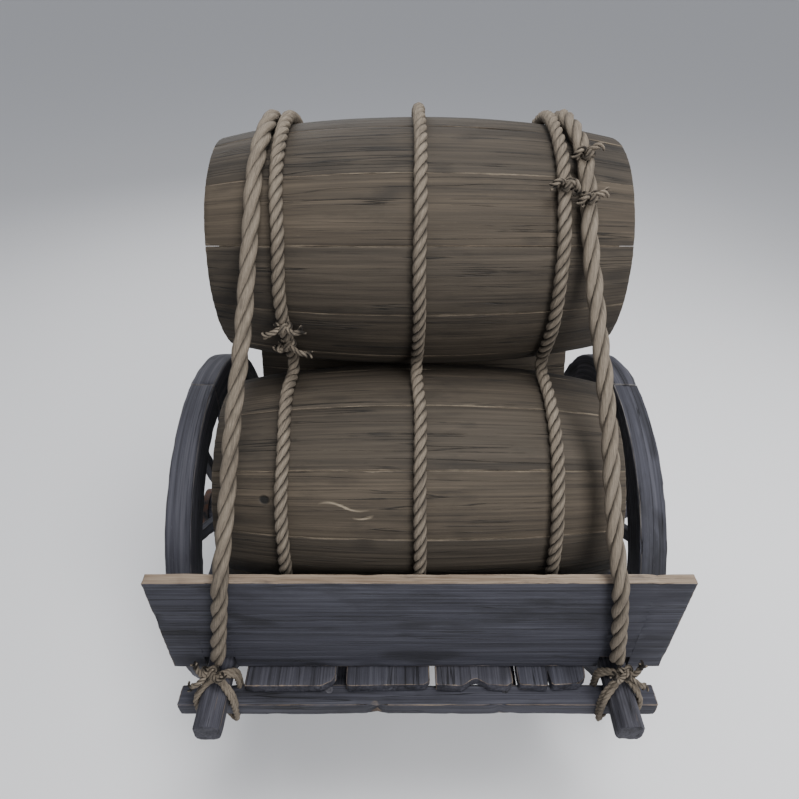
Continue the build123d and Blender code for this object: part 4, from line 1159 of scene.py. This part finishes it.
def cord_loop(side, end, turn, layer, sway):
    """A closed route over a pole and under its crossbeam; turn is the way it slants."""
    clear_x = POLE_ACROSS / 2 + CORD_RADIUS + ROPE_CLEAR
    clear_y = CROSSBEAM_WIDE / 2 + CORD_RADIUS + ROPE_CLEAR
    shoulder = POLE_TOP - (POLE_ACROSS / 2 - POLE_FLAT)
    lift = CORD_RADIUS * (1.0 if turn > 0 else 2.4)
    reach = 1.0 - 0.30 * layer
    half = [(POLE_FLAT * 1.1, POLE_TOP + lift), (clear_x * 1.02, shoulder),
            (clear_x, BEAM_UNDER + 0.02), (clear_x * 0.92, BEAM_UNDER - lift * 0.9)]
    points = []
    for x, z in half + [(-x, z) for x, z in reversed(half)]:
        y = turn * clear_y * reach * x / clear_x + sway
        points.append(Vector((side * POLE_X + x, end * LASH_CENTRE_Y + y, z)))
    line = []
    for a, b in zip(points, points[1:] + points[:1]):
        line += [a.lerp(b, step / 8) for step in range(8)]
    for _ in range(6):
        line = [(a + b * 2 + c) / 4 for a, b, c in zip(line[-1:] + line, line, line[1:] + line[:1])]
    return evenly(line + [line[0]], CORD_SPACING)[:-1]


def pole_lashing(node, side, end):
    """Thin rope wound round a pole and a crossbeam in a cross, with a knot on top."""
    rng = random.Random(node)
    for turn in (1, -1):
        for layer in range(2):
            loop = cord_loop(side, end, turn, layer, rng.uniform(-0.004, 0.004))
            rope(f"{node}_{'ab'[turn > 0]}{layer + 1}", loop, CORD_RADIUS * 0.95, CORD_LAY,
                 node if turn > 0 and layer == 0 else None, closed=True, seed=rng.randrange(999))
    heart = Vector((side * (POLE_X + 0.006), end * LASH_CENTRE_Y, POLE_TOP + 0.034))
    lump(f"{node}_knot", heart, rng.randrange(999), *POLE_KNOT)
    tails = [(side * x, away, up) for x, away, up in POLE_TAILS]
    loose_ends(node, heart, Vector((0.0, end, 0.0)), tails, rng.randrange(99))


# ---- kept CAD nodes
KEPT = (
    (IRON, ["left_nave_bands", "right_nave_bands", "left_axle_box", "right_axle_box",
            "inner_washers", "outer_washers", "left_linchpin", "right_linchpin", "prop_pins"]),
    (PEG, ["crossbeam_pegs", "plank_pegs", "axle_pegs"]),
    (BUNG, ["front_barrel_bung", "rear_barrel_bung", "top_barrel_bung"]),
    (CHOCK, ["middle_chocks", "outer_chocks"]),
)


def finish_kept_nodes():
    """Nodes whose shape is right only take a finish."""
    for material, nodes in KEPT:
        for node in nodes:
            dress(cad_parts[node].data, material)


# ---- stage
LIGHTS = (                 # name, place, size and watts; all look at LIT_POINT
    ("overhead", (0.5, -0.9, 5.2), 1.8, 205.0), ("key", (1.5, -3.5, 3.1), 1.6, 135.0),
    ("fill", (3.4, 0.6, 2.4), 2.6, 50.0), ("back", (-1.4, 3.4, 3.6), 2.6, 90.0))
LIT_POINT = Vector((0.0, 0.0, 1.0))
CAMERA_PLACE = (-0.046, -1.613, 2.340)
CAMERA_DOWN = 37.6         # degrees below level


def stage():
    """Pale floor, soft light and the camera."""
    bm = bmesh.new()
    bmesh.ops.create_grid(bm, x_segments=1, y_segments=1, size=30.0)
    paint = Paint("pale_floor")
    shader = paint.node("ShaderNodeBsdfPrincipled", None,
                        {"Base Color": (0.74, 0.74, 0.75, 1.0), "Roughness": 0.9})
    paint.node("ShaderNodeOutputMaterial", None, {"Surface": shader})
    floor = link("floor", mesh_from("floor", bm))
    dress(floor.data, paint.material)

    for name, place, size, power in LIGHTS:
        lamp = bpy.data.lights.new(name, "AREA")
        lamp.size = size
        lamp.energy = power
        holder = link(name, lamp)
        holder.location = place
        holder.rotation_euler = (LIT_POINT - Vector(place)).to_track_quat("-Z", "Y").to_euler()

    world = bpy.data.worlds.new("studio")
    world.use_nodes = True
    background = world.node_tree.nodes["Background"]
    background.inputs["Color"].default_value = (0.90, 0.93, 1.0, 1.0)
    background.inputs["Strength"].default_value = 0.46
    bpy.context.scene.world = world

    camera = bpy.data.cameras.new("camera")
    camera.lens = 28.44
    camera.sensor_width = 36.0
    holder = link("camera", camera)
    holder.location = CAMERA_PLACE
    holder.rotation_euler = (radians(90.0 - CAMERA_DOWN), 0.0, 0.0)
    bpy.context.scene.camera = holder


barrel("front_barrel", LOW_SEAM_ANGLE, 101)
barrel("rear_barrel", LOW_SEAM_ANGLE, 102)
barrel("top_barrel", TOP_SEAM_ANGLE, 103)
for side_name, side_sign in SIDES:
    wheel(side_name, side_sign)
planks()
crossbeams()
bearers()
axle()
poles()
end_boards()
for end_name, end_sign in ENDS:
    for side_name, _ in SIDES:
        prop(f"{end_name}_{side_name}_prop", end_sign)
lashings()
tie_ropes()
for side_name, side_sign in SIDES:
    for end_name, end_sign in ENDS:
        pole_lashing(f"{end_name}_{side_name}_pole_lashing", side_sign, end_sign)
finish_kept_nodes()
stage()
